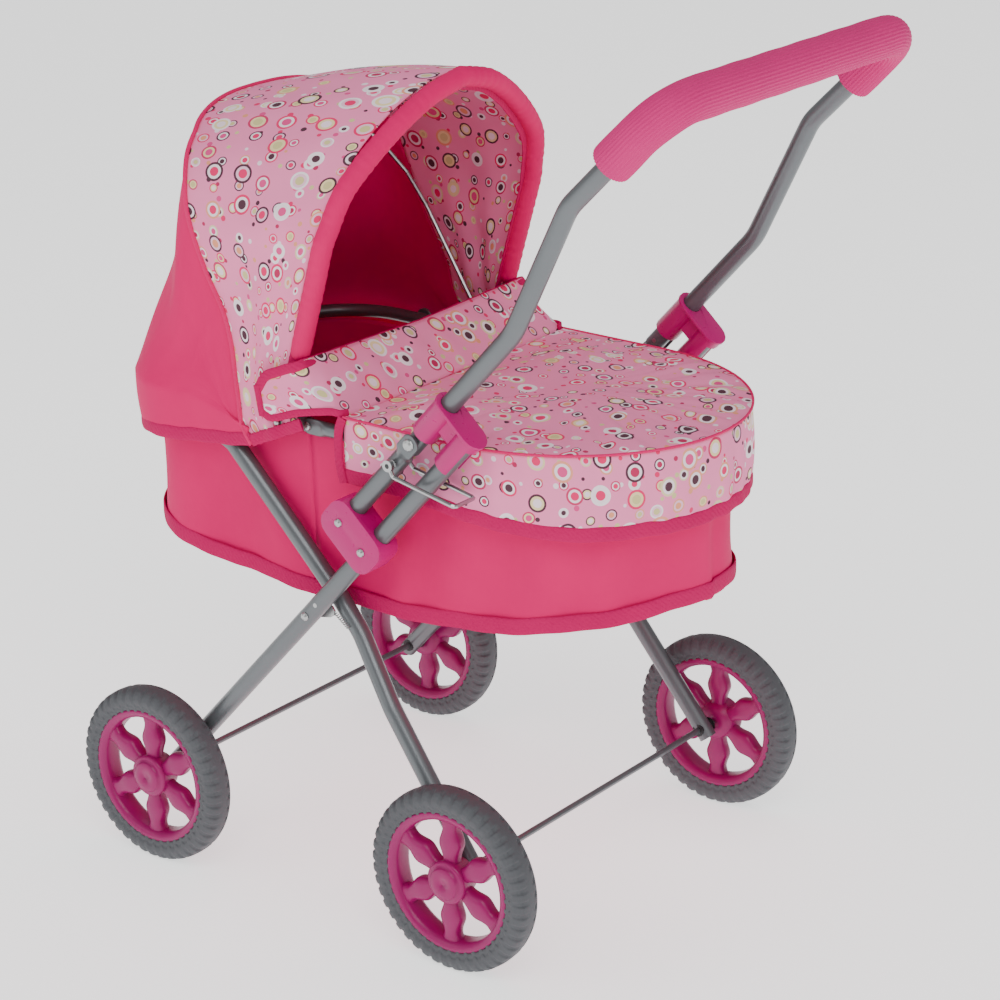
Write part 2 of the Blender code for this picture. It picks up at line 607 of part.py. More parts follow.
def make_handle():
    path = handle_path()
    handle = finish("handle_tube", loft(sweep(path, TUBE_R)), "paint", HANDLE_PIVOT)
    low = HANDLE_BAR.z - GRIP_DROP * math.sin(HANDLE_TOP_ANGLE)
    along = HANDLE_BAR - Vector((0, math.cos(HANDLE_TOP_ANGLE), math.sin(HANDLE_TOP_ANGLE))) * GRIP_DROP
    ends = [Vector((s * FRAME_X, *along.yz)) for s in (1, -1)]
    held = [ends[0], *[p for p in path if p.z > low + 0.001], ends[1]]
    finish("handle_grip", pipe(held, GRIP_R, TUBE_R + GAP), "foam", (0, *HANDLE_BAR.yz))
    for side, sign in (("left", 1), ("right", -1)):
        drill(handle, HANDLE_PIVOT, RIVET_SHANK + PIN_PLAY, *hole_span(sign, FRAME_X, 0.01))
        rivet(f"handle_pivot_{side}", HANDLE_PIVOT, sign * (TAB_X + FLAT), sign * (FRAME_X - TUBE_R),
              head=PIVOT_HEAD)
        lock(f"lock_{side}", sign)
        catch(f"catch_{side}", sign)


def lock(name, sign):
    """The sliding lock: a sleeve round the handle tube and a cup over the leg's top.  The cup is open
    towards the rear, so the leg's top can leave it as the handle folds."""
    low, high = LOCK
    x = sign * FRAME_X
    radius, bore = TUBE_R + LOCK_WALL, TUBE_R + GAP
    under = high - LOCK_PLATE

    def post(off, start, end, r, sides=TUBE_SIDES):
        return loft(sweep([on_leg(x, start, off), on_leg(x, end, off)], r, sides))

    sleeve = finish(name, post(LINK_OFFSET, low, under + 0.001, radius), "magenta",
                    on_leg(x, low, LINK_OFFSET))
    combine(sleeve, post(0, low - 0.002, under + 0.001, radius), "UNION")
    web = [on_leg(0, a, off) for a, off in ((under, 0), (under, LINK_OFFSET), (low + 0.013, LINK_OFFSET),
                                            (low + 0.013, 0))]
    combine(sleeve, prism([(p.y, p.z) for p in web], x - 0.0045, x + 0.0045), "UNION")
    plate = []
    for off, turn in ((0, math.pi), (LINK_OFFSET, 0)):
        for i in range(9):
            a = turn + math.pi * i / 8
            plate.append((off + (radius + 0.001) * math.sin(a), (radius + 0.001) * math.cos(a)))
    rings = [[on_leg(x + across, a, off) for off, across in plate] for a in (under, high)]
    combine(sleeve, loft(rings), "UNION")
    combine(sleeve, post(LINK_OFFSET, low - 0.01, high + 0.01, bore), "DIFFERENCE")
    combine(sleeve, post(0, low - 0.01, LEG_TOP + 0.001, bore), "DIFFERENCE")
    slot = [on_leg(0, a, off) for a, off in ((low - 0.01, 0), (LEG_TOP + 0.001, 0),
                                             (LEG_TOP + 0.001, -0.02), (low - 0.01, -0.02))]
    combine(sleeve, prism([(p.y, p.z) for p in slot], x - bore, x + bore), "DIFFERENCE")


def catch(name, sign):
    """The wire catch: an eye on each side of the link tube, and a loop that passes round the leg."""
    outer = FRAME_X + LINK_X + TUBE_R + HEAD_RISE + 3 * GAP + WIRE_R
    inner = FRAME_X + LINK_X - TUBE_R - 2 * GAP - WIRE_R
    around = FRAME_X - TUBE_R - 0.0010 - WIRE_R
    pin = HOOP_PIVOT
    reach = ((0.0, 0.0), (0.0037, -0.0069), (0.0525, -0.0165))
    corners = [Vector((sign * outer, pin.y + y, pin.z + z)) for y, z in reach]
    corners += [Vector((sign * around, pin.y + y, pin.z + z)) for y, z in reach[:0:-1]]
    corners.append(Vector((sign * inner, pin.y, pin.z)))
    path = rounded(corners, 0.0022, 2)
    wire = finish(name, loft(sweep(path, WIRE_R, WIRE_SIDES)), "steel", pin)
    for x in (outer, inner):
        combine(wire, bar_x(pin, RIVET_SHANK + PIN_PLAY + 0.0022, *hole_span(sign, x, WIRE_R)), "UNION")
        drill(wire, pin, RIVET_SHANK + PIN_PLAY, *hole_span(sign, x, 0.004))


# ---------------------------------------------------------------- soft parts

def half_outline(half, rear_y, front_y=None, corner=None, steps=8):
    """From the rear tip round the pusher's left side: a half circle, then straight to front_y, which
    is closed by a rounded corner where one is given."""
    points = []
    for i in range(steps + 1):
        a = math.pi / 2 * (1 - i / steps)
        points.append(Vector((half * math.cos(a), rear_y - half + half * math.sin(a), 0)))
    if corner is None:
        return [*points, Vector((half, front_y, 0))]
    points.append(Vector((half, (rear_y + front_y) / 2 - half / 2, 0)))
    for i in range(5):
        a = math.pi / 2 * i / 4
        points.append(Vector((half - corner + corner * math.cos(a), front_y + corner - corner * math.sin(a), 0)))
    points.append(Vector((0, front_y, 0)))
    return points


def basket():
    """The tub: walls hung from the hoop and a floor that rises gently towards both ends."""
    half = BASKET_HALF
    rear, front = HOOP_REAR_Y + HOOP_R - 0.001, HOOP_FRONT_Y - HOOP_R
    top = HOOP_Z - HOOP_R - 0.0008

    def level(points, lift):
        low = HOOP_Z - BASKET_DEPTH - HOOP_R
        return [Vector((p.x, p.y, low + lift + BASKET_ROCKER * (p.y - BASKET_LOW_Y) ** 2)) for p in points]

    outer = half_outline(half, rear, front, HOOP_CORNER_R)
    inner = half_outline(half - CLOTH, rear - CLOTH, front + CLOTH, HOOP_CORNER_R - CLOTH)
    flip = Vector((-1, 1, 1))
    bm = bmesh.new()

    def add(points):
        right = [bm.verts.new(p) for p in points]
        left = [bm.verts.new(p * flip) for p in points[1:-1]]
        return right, [right[0], *left, right[-1]]

    rows = [add([Vector((p.x, p.y, top)) for p in outer]), add(level(outer, 0)), add(level(inner, CLOTH)),
            add([Vector((p.x, p.y, top)) for p in inner])]
    for near, far in ((rows[0], rows[1]), (rows[2], rows[3]), (rows[3], rows[0])):
        for hand in (0, 1):
            for i in range(len(outer) - 1):
                bm.faces.new((near[hand][i], near[hand][i + 1], far[hand][i + 1], far[hand][i]))
    for right, left in (rows[1], rows[2]):
        for i in range(len(outer) - 1):
            corners = [right[i], right[i + 1], left[i + 1], left[i]]
            bm.faces.new(list(dict.fromkeys(corners)))
    return finish("basket", bm, "pink_cloth", (0, 0, top))


def apron():
    """The foot cover: a padded top with a skirt that hangs over the hoop, open at the front."""
    half = HOOP_OUTER + CLOTH + GAP
    rear = HOOP_REAR_Y + HOOP_R + CLOTH + GAP
    top, under = HOOP_Z + APRON_TOP, HOOP_Z + APRON_TOP - APRON_PAD
    hem = HOOP_Z - APRON_SKIRT
    outer = half_outline(half, rear, APRON_FRONT_Y)
    inner = half_outline(half - CLOTH, rear - CLOTH, APRON_FRONT_Y)
    flip = Vector((-1, 1, 1))
    bm = bmesh.new()

    def add(points, z):
        right = [bm.verts.new((p.x, p.y, z)) for p in points]
        left = [bm.verts.new(Vector((p.x, p.y, z)) * flip) for p in points[1:]]
        return right, [right[0], *left]

    rows = [add(outer, top), add(outer, hem), add(inner, hem), add(inner, under)]
    for near, far in zip(rows, rows[1:]):
        for hand in (0, 1):
            for i in range(len(outer) - 1):
                bm.faces.new((near[hand][i], near[hand][i + 1], far[hand][i + 1], far[hand][i]))
    for right, left in (rows[0], rows[3]):
        for i in range(len(outer) - 1):
            bm.faces.new(list(dict.fromkeys([right[i], right[i + 1], left[i + 1], left[i]])))
    for hand in (0, 1):
        bm.faces.new([rows[k][hand][-1] for k in range(4)])
    bm.faces.new((rows[0][0][-1], rows[3][0][-1], rows[3][1][-1], rows[0][1][-1]))
    cover = finish("apron", bm, "print_cloth", HOOP_PIVOT)
    for sign in (1, -1):
        drill(cover, HOOP_PIVOT, RIVET_SHANK + 0.001, *hole_span(sign, half, 0.004))
    return cover


def wind_flap():
    """The upright band along the apron's front edge, its ends fastened to the hood's sides."""
    half = HOOD_FOOT_HALF + CLOTH + 0.0010
    fold = (APRON_FRONT_Y - 0.0006, HOOP_Z + APRON_TOP + 0.0005)
    top = (FLAP_TOP_Y, HOOP_Z + FLAP_TOP)
    grid = []
    for t in (0.0, 0.5, 1.0):
        y, z = (a + (b - a) * t for a, b in zip(fold, top))
        tab_z = HOOP_Z + 0.004 + (0.026 - 0.004) * t
        side_z = HOOP_Z + 0.010 + (FLAP_TOP - 0.014) * t
        row = [(half, FLAP_TAB_Y, tab_z), (half, FLAP_TOP_Y - 0.008, side_z), (half - 0.002, y, z),
               (half - 0.012, y, z), (0, y, z)]
        right = [Vector(p) for p in row]
        grid.append(right + [p * Vector((-1, 1, 1)) for p in right[-2::-1]])
    return finish("wind_flap", cloth(grid[::-1]), "print_cloth", (0, *fold))


def arch(half, height, cap, foot=None, start=0.0, side_steps=3, cap_steps=12):
    """(x, height) points of a bow from the pusher's left foot over to the right: straight sides, then
    an elliptical cap.  The sides may spread towards their feet."""
    spread = (foot or half) - half
    straight = height - cap
    side = []
    for i in range(side_steps):
        h = start + (straight - start) * i / side_steps
        side.append((half + spread * max(0.0, 1 - h / 0.06) ** 2, h))
    over = [(half * math.cos(math.pi * i / cap_steps), straight + cap * math.sin(math.pi * i / cap_steps))
            for i in range(cap_steps + 1)]
    return side + over + [(-x, h) for x, h in side[::-1]]


def bow_points(base, top, points):
    """Places arch points in the plane that runs across the pram through base and top."""
    rise = (top - base).normalized()
    return [Vector((x, *(base + rise * h).yz)) for x, h in points]


def along_bow(angle, length):
    return HOOD_PIVOT + Vector((0, math.cos(angle), math.sin(angle))) * length


def hood_edges():
    """Feet and tops of the canopy's front and rear edges, in the side view."""
    back = Vector((0, -math.sin(FRONT_BOW_ANGLE), math.cos(FRONT_BOW_ANGLE))) * (ROLL_R + 0.001)
    front_top = along_bow(FRONT_BOW_ANGLE, FRONT_BOW_LENGTH) + back
    front_foot = HOOD_PIVOT + Vector((0, -0.0030, 0.0130)) + Vector((0, back.y, 0)) * 0.2
    rear_top = along_bow(REAR_BOW_ANGLE, REAR_BOW_LENGTH + 0.0035)
    rear_foot = HOOD_PIVOT + Vector((0, -0.0320, 0.0060))
    return front_foot, front_top, rear_foot, rear_top


def canopy():
    front_foot, front_top, rear_foot, rear_top = hood_edges()
    grid = []
    for i in range(6):
        t = i / 5
        base, top = front_foot.lerp(rear_foot, t), front_top.lerp(rear_top, t)
        height = (top - base).length - 0.012 * math.sin(math.pi * t)
        grid.append(bow_points(base, top, arch(HOOD_HALF, height, HOOD_CAP, HOOD_FOOT_HALF)))
    return finish("hood_canopy", cloth(grid[::-1]), "print_cloth", HOOD_PIVOT)


def rear_panel():
    """The plain end of the hood: from the canopy's rear edge down over the hoop's front end."""
    foot, top = hood_edges()[2:]
    height = (top - foot).length
    upper = bow_points(foot, top, arch(HOOD_HALF, height, HOOD_CAP, HOOD_FOOT_HALF))
    upper = [p + Vector((0, -0.0022, -0.0006)) for p in upper]
    hem_z = HOOP_Z - HOOD_TRIM
    front = HOOP_FRONT_Y - HOOP_R - 0.0045
    half, corner = HOOD_FOOT_HALF, HOOP_CORNER_R
    count = len(upper) // 2
    run = [Vector((half, foot.y - 0.001, hem_z)), Vector((half, (foot.y + front + corner) / 2, hem_z))]
    for i in range(count - 2):
        a = math.pi / 2 * i / (count - 2)
        run.append(Vector((half - corner + corner * math.cos(a), front + corner - corner * math.sin(a), hem_z)))
    run.append(Vector((0, front, hem_z)))
    lower = run + [p * Vector((-1, 1, 1)) for p in run[-2::-1]]
    grid = []
    for i in range(7):
        t = i / 6
        row = []
        for a, e in zip(upper, lower):
            pull = Vector((e.x, a.y + 0.75 * (e.y - a.y), a.z - 0.15 * (a.z - e.z)))
            row.append(a * (1 - t) ** 2 + pull * 2 * t * (1 - t) + e * t ** 2)
        grid.append(row)
    return finish("hood_rear_panel", cloth(grid[::-1]), "pink_cloth", HOOD_PIVOT)


def bow(name, angle, length, half, foot_x):
    """A hood wire: an arch whose feet end in eyes on the hood pivots."""
    points = arch(half, length, HOOD_CAP, start=0.040)
    points = [(foot_x, 0.0), (foot_x, 0.010), *points, (-foot_x, 0.010), (-foot_x, 0.0)]
    path = bow_points(HOOD_PIVOT, along_bow(angle, length), points)
    wire = finish(name, loft(sweep(path, BOW_R, WIRE_SIDES, Vector((0, 1, 0)))), "steel", HOOD_PIVOT)
    for sign in (1, -1):
        eye = bar_x(HOOD_PIVOT, RIVET_SHANK + PIN_PLAY + 0.0020, *hole_span(sign, foot_x, FLAT / 2))
        combine(wire, eye, "UNION")
        drill(wire, HOOD_PIVOT, RIVET_SHANK + PIN_PLAY, *hole_span(sign, foot_x, 0.004))
    return wire


def make_hood():
    bow("front_bow", FRONT_BOW_ANGLE, FRONT_BOW_LENGTH, HOOD_HALF - 0.0015, EAR_X + BOW_R)
    bow("rear_bow", REAR_BOW_ANGLE, REAR_BOW_LENGTH - 0.0035, HOOD_HALF - 0.0060,
        HOOP_X - HOOP_R - GAP - BOW_R)
    points = arch(HOOD_HALF - 0.0015, FRONT_BOW_LENGTH, HOOD_CAP, start=ROLL_START)
    path = bow_points(HOOD_PIVOT, along_bow(FRONT_BOW_ANGLE, FRONT_BOW_LENGTH), points)
    finish("hood_roll", pipe(path, ROLL_R, BOW_R + 2 * GAP, 10, Vector((0, 1, 0))), "pink_cloth", HOOD_PIVOT)
    canopy()
    rear_panel()


# ---------------------------------------------------------------- build

clear_scene()
PRAM = bpy.data.objects.new("pram", None)
PRAM.location = (0, -MIDDLE_Y, 0)
bpy.context.collection.objects.link(PRAM)
MATERIALS = {
    "paint": material("grey_enamel", (0.20, 0.22, 0.23), 0.35, 0.3),
    "steel": material("zinc_plated_steel", (0.55, 0.56, 0.56), 0.3, 1.0),
    "magenta": material("magenta_plastic", (0.62, 0.02, 0.20), 0.3),
    "tyre": material("grey_tyre", (0.07, 0.075, 0.08), 0.6),
    "dark_plastic": material("dark_plastic", (0.03, 0.03, 0.03), 0.5),
    "foam": material("pink_foam", (0.80, 0.10, 0.28), 0.75),
    "pink_cloth": material("hot_pink_cloth", (0.75, 0.03, 0.14), 0.7),
    "print_cloth": material("printed_cloth", (0.85, 0.32, 0.50), 0.7),
}
make_wheels()
make_frame()
for hand, hand_sign in (("left", 1), ("right", -1)):
    rear_leg(hand, hand_sign)
make_hoops()
make_handle()
basket()
apron()
wind_flap()
make_hood()
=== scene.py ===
"""Looks of the doll's pram: smooth visual pieces, cloth, finishes, light and camera.

Lengths are in metres.  Points are drawn with y = 0 midway between the axles and moved by AXLE_MID when
a mesh is made, which puts them in the row frame: +X the pusher's left, -Y the front, +Z up.
"""

from __future__ import annotations

import logging
import math
from dataclasses import dataclass
from enum import Enum
from typing import Callable, Sequence

import bpy
import numpy as np
from mathutils import Matrix, Vector

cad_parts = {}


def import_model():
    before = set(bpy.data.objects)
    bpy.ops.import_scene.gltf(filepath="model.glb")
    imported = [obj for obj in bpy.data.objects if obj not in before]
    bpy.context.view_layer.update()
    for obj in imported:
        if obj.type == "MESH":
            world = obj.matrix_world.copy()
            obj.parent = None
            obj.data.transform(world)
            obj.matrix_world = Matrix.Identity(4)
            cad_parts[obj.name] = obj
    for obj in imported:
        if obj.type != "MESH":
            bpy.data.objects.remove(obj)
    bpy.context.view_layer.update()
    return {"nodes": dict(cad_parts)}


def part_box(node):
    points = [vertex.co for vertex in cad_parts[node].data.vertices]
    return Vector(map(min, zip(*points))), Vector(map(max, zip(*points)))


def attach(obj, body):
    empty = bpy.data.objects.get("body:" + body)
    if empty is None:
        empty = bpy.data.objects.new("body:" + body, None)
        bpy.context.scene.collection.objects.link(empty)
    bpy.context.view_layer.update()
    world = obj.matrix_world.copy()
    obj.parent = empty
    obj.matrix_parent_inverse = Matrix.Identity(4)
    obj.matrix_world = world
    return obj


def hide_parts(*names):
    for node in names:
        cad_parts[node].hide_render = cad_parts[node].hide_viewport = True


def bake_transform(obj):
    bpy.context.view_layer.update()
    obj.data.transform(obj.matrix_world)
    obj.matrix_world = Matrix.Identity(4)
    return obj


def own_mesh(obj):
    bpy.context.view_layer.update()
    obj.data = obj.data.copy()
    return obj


LOG = logging.getLogger("pram")
Array = np.ndarray
Path = Sequence[tuple[float, float, float]]
Value = float | Sequence[float] | bpy.types.NodeSocket

AXLE_MID = 0.048575
SIDES = (("left", 1.0), ("right", -1.0))
LEG_ANGLE = math.radians(47.6)
AXLE_FRONT = np.array([0.0, -0.13335, 0.0635])
AXLE_REAR = np.array([0.0, 0.13335, 0.0635])
LEG_DIR = np.array([0.0, math.cos(LEG_ANGLE), math.sin(LEG_ANGLE)])
LEG_UP = np.array([0.0, -math.sin(LEG_ANGLE), math.cos(LEG_ANGLE)])
HOOP_Z = 0.333
HOOP_HINGE_Y = -0.0125          # where the hoop and the tub part into a front and a rear half
CLOTH = 0.0010


def on_leg(x: float, along: float, off: float = 0.0) -> Array:
    """A point by its distance along the front leg and its distance off it."""
    return np.array([x, 0.0, 0.0]) + AXLE_FRONT + LEG_DIR * along + LEG_UP * off


# ---------------------------------------------------------------- finishes

class Surface(Enum):
    """What a finish's fine relief and reflections are like."""

    PAINT = "paint"
    METAL = "metal"
    PLASTIC = "plastic"
    RUBBER = "rubber"
    FOAM = "foam"
    CLOTH = "cloth"
    PRINT = "print"
    TWILL = "twill"


@dataclass(frozen=True)
class Finish:
    """One finish: its sRGB colour and how it takes the light."""

    name: str
    surface: Surface
    colour: str
    roughness: float
    metallic: float = 0.0
    mottle: float = 0.05
    bump: float = 0.00005
    grain: float = 0.0015
    coat: float = 0.0
    sheen: float = 0.0


PAINT = Finish("grey_enamel", Surface.PAINT, "#6C7073", 0.34, 0.55, 0.04, 0.00002, 0.004, 0.2)
STEEL = Finish("zinc_plate", Surface.METAL, "#B9BBBB", 0.30, 1.0, 0.08, 0.00002, 0.003)
MAGENTA = Finish("magenta_plastic", Surface.PLASTIC, "#C00070", 0.30, 0.0, 0.03, 0.00003, 0.002)
WHEEL_PINK = Finish("wheel_plastic", Surface.PLASTIC, "#98005E", 0.33, 0.0, 0.03, 0.00003, 0.002)
TYRE = Finish("grey_tyre", Surface.RUBBER, "#55575B", 0.62, 0.0, 0.08, 0.00008, 0.001)
BLACK = Finish("dark_plastic", Surface.PLASTIC, "#2A2A2C", 0.5)
FOAM = Finish("pink_foam", Surface.FOAM, "#D41E76", 0.72, 0.0, 0.05, 0.0001, 0.0007, 0.0, 0.0)
HOT_PINK = Finish("hot_pink_cloth", Surface.CLOTH, "#E60068", 0.62, 0.0, 0.06, 0.00022, 0.012, 0.0, 0.0)
PRINTED = Finish("printed_cloth", Surface.PRINT, "#FF8EBC", 0.66, 0.0, 0.04, 0.00016, 0.010, 0.0, 0.0)
TAPE = Finish("twill_tape", Surface.TWILL, "#C80A5E", 0.7, 0.0, 0.06, 0.00025, 0.001, 0.0, 0.0)
PIPING = Finish("piping", Surface.TWILL, "#E8206E", 0.62, 0.0, 0.06, 0.0002, 0.001, 0.0, 0.0)

DOT_COLOURS = ("#5B3A46", "#F0326E", "#F2A07B", "#D9CC92", "#FBE3EE", "#E94F8E", "#C2325F")
RING_COLOURS = ("#5B3A46", "#FCEFF4", "#F0326E", "#5B3A46", "#E9D9A8", "#F4A086", "#D43A6A")


def linear(colour: str) -> tuple[float, float, float, float]:
    """Turns a hex sRGB colour into linear light.

    Args:
        colour: "#RRGGBB".
    Returns:
        (red, green, blue, 1) in linear light.
    """
    parts = [int(colour[i:i + 2], 16) / 255 for i in (1, 3, 5)]
    return (*(c / 12.92 if c <= 0.04045 else ((c + 0.055) / 1.055) ** 2.4 for c in parts), 1.0)


class NodeBuilder:
    """Adds shader nodes and links in a few words."""

    def __init__(self, material: bpy.types.Material) -> None:
        """Takes over a material's nodes."""
        material.use_nodes = True
        self.tree = material.node_tree
        self.shader = self.tree.nodes["Principled BSDF"]

    def add(self, kind: str, inputs: dict | None = None, **settings) -> bpy.types.Node:
        """Adds a node, sets its properties and fills its inputs with values or links."""
        node = self.tree.nodes.new(kind)
        for key, value in settings.items():
            setattr(node, key, value)
        for key, value in (inputs or {}).items():
            self.fill(node.inputs[key], value)
        return node

    def fill(self, socket: bpy.types.NodeSocket, value: Value) -> None:
        """Links an output to a socket, or sets the socket's own value."""
        if isinstance(value, bpy.types.NodeSocket):
            self.tree.links.new(value, socket)
        else:
            socket.default_value = value

    def math(self, operation: str, a: Value, b: Value = 0.0, c: Value = 0.0) -> bpy.types.NodeSocket:
        """One math node's output."""
        return self.add("ShaderNodeMath", {0: a, 1: b, 2: c}, operation=operation).outputs[0]

    def mix(self, share: Value, a: Value, b: Value) -> bpy.types.NodeSocket:
        """A colour between a and b."""
        node = self.add("ShaderNodeMix", data_type="RGBA")
        self.fill(node.inputs[0], share)
        self.fill(node.inputs[6], a)
        self.fill(node.inputs[7], b)
        return node.outputs[2]

    def steps(self, value: Value, colours: Sequence[str]) -> bpy.types.NodeSocket:
        """One of the colours, picked by a value from 0 to 1."""
        ramp = self.add("ShaderNodeValToRGB", {0: value})
        ramp.color_ramp.interpolation = "CONSTANT"
        stops = ramp.color_ramp.elements
        stops[0].color = linear(colours[0])
        stops[1].position = 1 / len(colours)
        stops[1].color = linear(colours[1])
        for k, colour in enumerate(colours[2:], 2):
            stops.new(k / len(colours)).color = linear(colour)
        return ramp.outputs[0]


def print_colour(build: NodeBuilder, uv: bpy.types.NodeSocket, ground: str) -> bpy.types.NodeSocket:
    """A ground strewn with small rings and dots, laid out on the cloth's own metres."""
    colour = linear(ground)
    for cell, small, large, ringed in ((0.0130, 0.0009, 0.0019, False), (0.0165, 0.0026, 0.0044, True),
                                       (0.0215, 0.0048, 0.0068, True)):
        cells = build.add("ShaderNodeTexVoronoi", {"Vector": uv, "Scale": 1 / cell, "Randomness": 0.55},
                          voronoi_dimensions="2D")
        pick = build.add("ShaderNodeSeparateColor", {0: cells.outputs["Color"]})
        distance = build.math("MULTIPLY", cells.outputs["Distance"], cell)
        radius = build.math("MULTIPLY_ADD", pick.outputs[0], large - small, small)
        inside = build.math("LESS_THAN", distance, radius)
        share = build.math("DIVIDE", distance, radius)
        dot = build.steps(pick.outputs[1], DOT_COLOURS)
        if ringed:
            ring = build.steps(pick.outputs[2], RING_COLOURS)
            pale = build.steps(pick.outputs[1], ("#FBE9F1", "#F7C3DA", "#F3DDA8", "#FBE9F1"))
            dot = build.mix(build.math("GREATER_THAN", share, 0.48), dot, pale)
            dot = build.mix(build.math("GREATER_THAN", share, 0.76), dot, ring)
        shown = build.math("MULTIPLY", inside, build.math("GREATER_THAN", pick.outputs[0], 0.12))
        colour = build.mix(shown, colour, dot)
    return colour


def make_material(finish: Finish) -> bpy.types.Material:
    """Builds a finish as a node material.

    Args:
        finish: what to build.
    Returns:
        The material, with mottled colour, uneven gloss and fine relief.
    """
    made = bpy.data.materials.new(finish.name)
    build = NodeBuilder(made)
    soft = finish.surface in (Surface.CLOTH, Surface.PRINT, Surface.TWILL)
    coords = build.add("ShaderNodeTexCoord")
    place = coords.outputs["UV"] if soft else coords.outputs["Object"]
    noise = build.add("ShaderNodeTexNoise", {"Vector": place, "Scale": 1 / max(finish.grain, 1e-4) / 2,
                                             "Detail": 4.0})
    broad = build.add("ShaderNodeTexNoise", {"Vector": place, "Scale": 22.0, "Detail": 3.0})
    base = linear(finish.colour)
    if finish.surface is Surface.PRINT:
        base = print_colour(build, place, finish.colour)
    dark = build.mix(1.0 - finish.mottle * 3, (0.0, 0.0, 0.0, 1.0), base)
    build.fill(build.shader.inputs["Base Color"], build.mix(broad.outputs[0], dark, base))
    rough = build.math("MULTIPLY_ADD", noise.outputs[0], 0.16, finish.roughness - 0.08)
    build.fill(build.shader.inputs["Roughness"], rough)
    build.shader.inputs["Metallic"].default_value = finish.metallic
    build.shader.inputs["Specular IOR Level"].default_value = 0.10 if soft else 0.35
    build.shader.inputs["Coat Weight"].default_value = finish.coat
    build.shader.inputs["Coat Roughness"].default_value = 0.15
    build.shader.inputs["Sheen Weight"].default_value = finish.sheen
    build.shader.inputs["Sheen Roughness"].default_value = 0.4
    height = noise.outputs[0]
    if finish.surface is Surface.TWILL:
        weave = build.add("ShaderNodeTexWave", {"Vector": place, "Scale": 170.0, "Distortion": 0.4},
                          bands_direction="DIAGONAL")
        height = build.math("MULTIPLY_ADD", weave.outputs[1], 0.25, height)
    bump = build.add("ShaderNodeBump", {"Height": height, "Distance": finish.bump * 4, "Strength": 0.6})
    build.fill(build.shader.inputs["Normal"], bump.outputs[0])
    return made


class Palette:
    """Hands out one material for each finish."""

    def __init__(self) -> None:
        """Starts with no materials made."""
        self._made: dict[str, bpy.types.Material] = {}

    def __getitem__(self, finish: Finish) -> bpy.types.Material:
        """The finish's material, made at its first use."""
        if finish.name not in self._made:
            self._made[finish.name] = make_material(finish)
        return self._made[finish.name]


# ---------------------------------------------------------------- curves and surfaces

def smooth_path(points: Path, count: int) -> Array:
    """Points evenly spaced along a Catmull-Rom curve through the given ones."""
    p = np.asarray(points, float)
    p = np.vstack([2 * p[0] - p[1], p, 2 * p[-1] - p[-2]])
    t = np.linspace(0, 1, 12, endpoint=False)[:, None]
    runs = []
    for a, b, c, d in zip(p, p[1:], p[2:], p[3:]):
        runs.append(0.5 * (2 * b + (c - a) * t + (2 * a - 5 * b + 4 * c - d) * t**2
                           + (3 * b - a - 3 * c + d) * t**3))
    return even(np.vstack([*runs, p[-2][None]]), count)


def even(path: Array, count: int) -> Array:
    """The same line with its points evenly spaced by length."""
    length = np.concatenate([[0], np.cumsum(np.linalg.norm(np.diff(path, axis=0), axis=1))])
    at = np.linspace(0, length[-1], count)
    return np.stack([np.interp(at, length, path[:, k]) for k in range(3)], axis=1)


def rounded(points: Path, radii: Sequence[float], steps: int = 10) -> Array:
    """A polyline with an arc in place of each inner corner."""
    p = np.asarray(points, float)
    line = [p[0]]
    for a, b, c, r in zip(p, p[1:], p[2:], radii):
        back = (a - b) / np.linalg.norm(a - b)
        on = (c - b) / np.linalg.norm(c - b)
        half = math.acos(float(np.clip(back @ on, -1, 1))) / 2
        run = r / math.tan(half)
        middle = b + (back + on) / np.linalg.norm(back + on) * (r / math.sin(half))
        start, end = b + back * run - middle, b + on * run - middle
        turn = math.pi - 2 * half
        for k in range(steps + 1):
            s = k / steps
            line.append(middle + (math.sin((1 - s) * turn) * start + math.sin(s * turn) * end)
                        / math.sin(turn))
    return np.array([*line, p[-1]])


def mirrored(half: Array) -> Array:
    """A left-hand run that ends at x = 0, carried on to its mirror image."""
    return np.vstack([half, (half * [-1, 1, 1])[-2::-1]])


def frames(path: Array, up: Array) -> tuple[Array, Array, Array]:
    """Tangents and two normals carried along a path without twist."""
    step = np.diff(path, axis=0)
    step /= np.linalg.norm(step, axis=1)[:, None]
    tangent = np.vstack([step[:1], step[:-1] + step[1:], step[-1:]])
    tangent /= np.linalg.norm(tangent, axis=1)[:, None]
    normals = []
    carried = np.asarray(up, float)
    for t in tangent:
        carried = carried - t * (carried @ t)
        carried /= np.linalg.norm(carried)
        normals.append(carried)
    normal = np.array(normals)
    return tangent, np.cross(tangent, normal), normal


def arc_lengths(grid: Array, axis: int) -> Array:
    """Distances along one axis of a grid, from its first point."""
    step = np.linalg.norm(np.diff(grid, axis=axis), axis=2)
    zero = np.zeros_like(np.take(step, [0], axis=axis))
    return np.concatenate([zero, np.cumsum(step, axis=axis)], axis=axis)


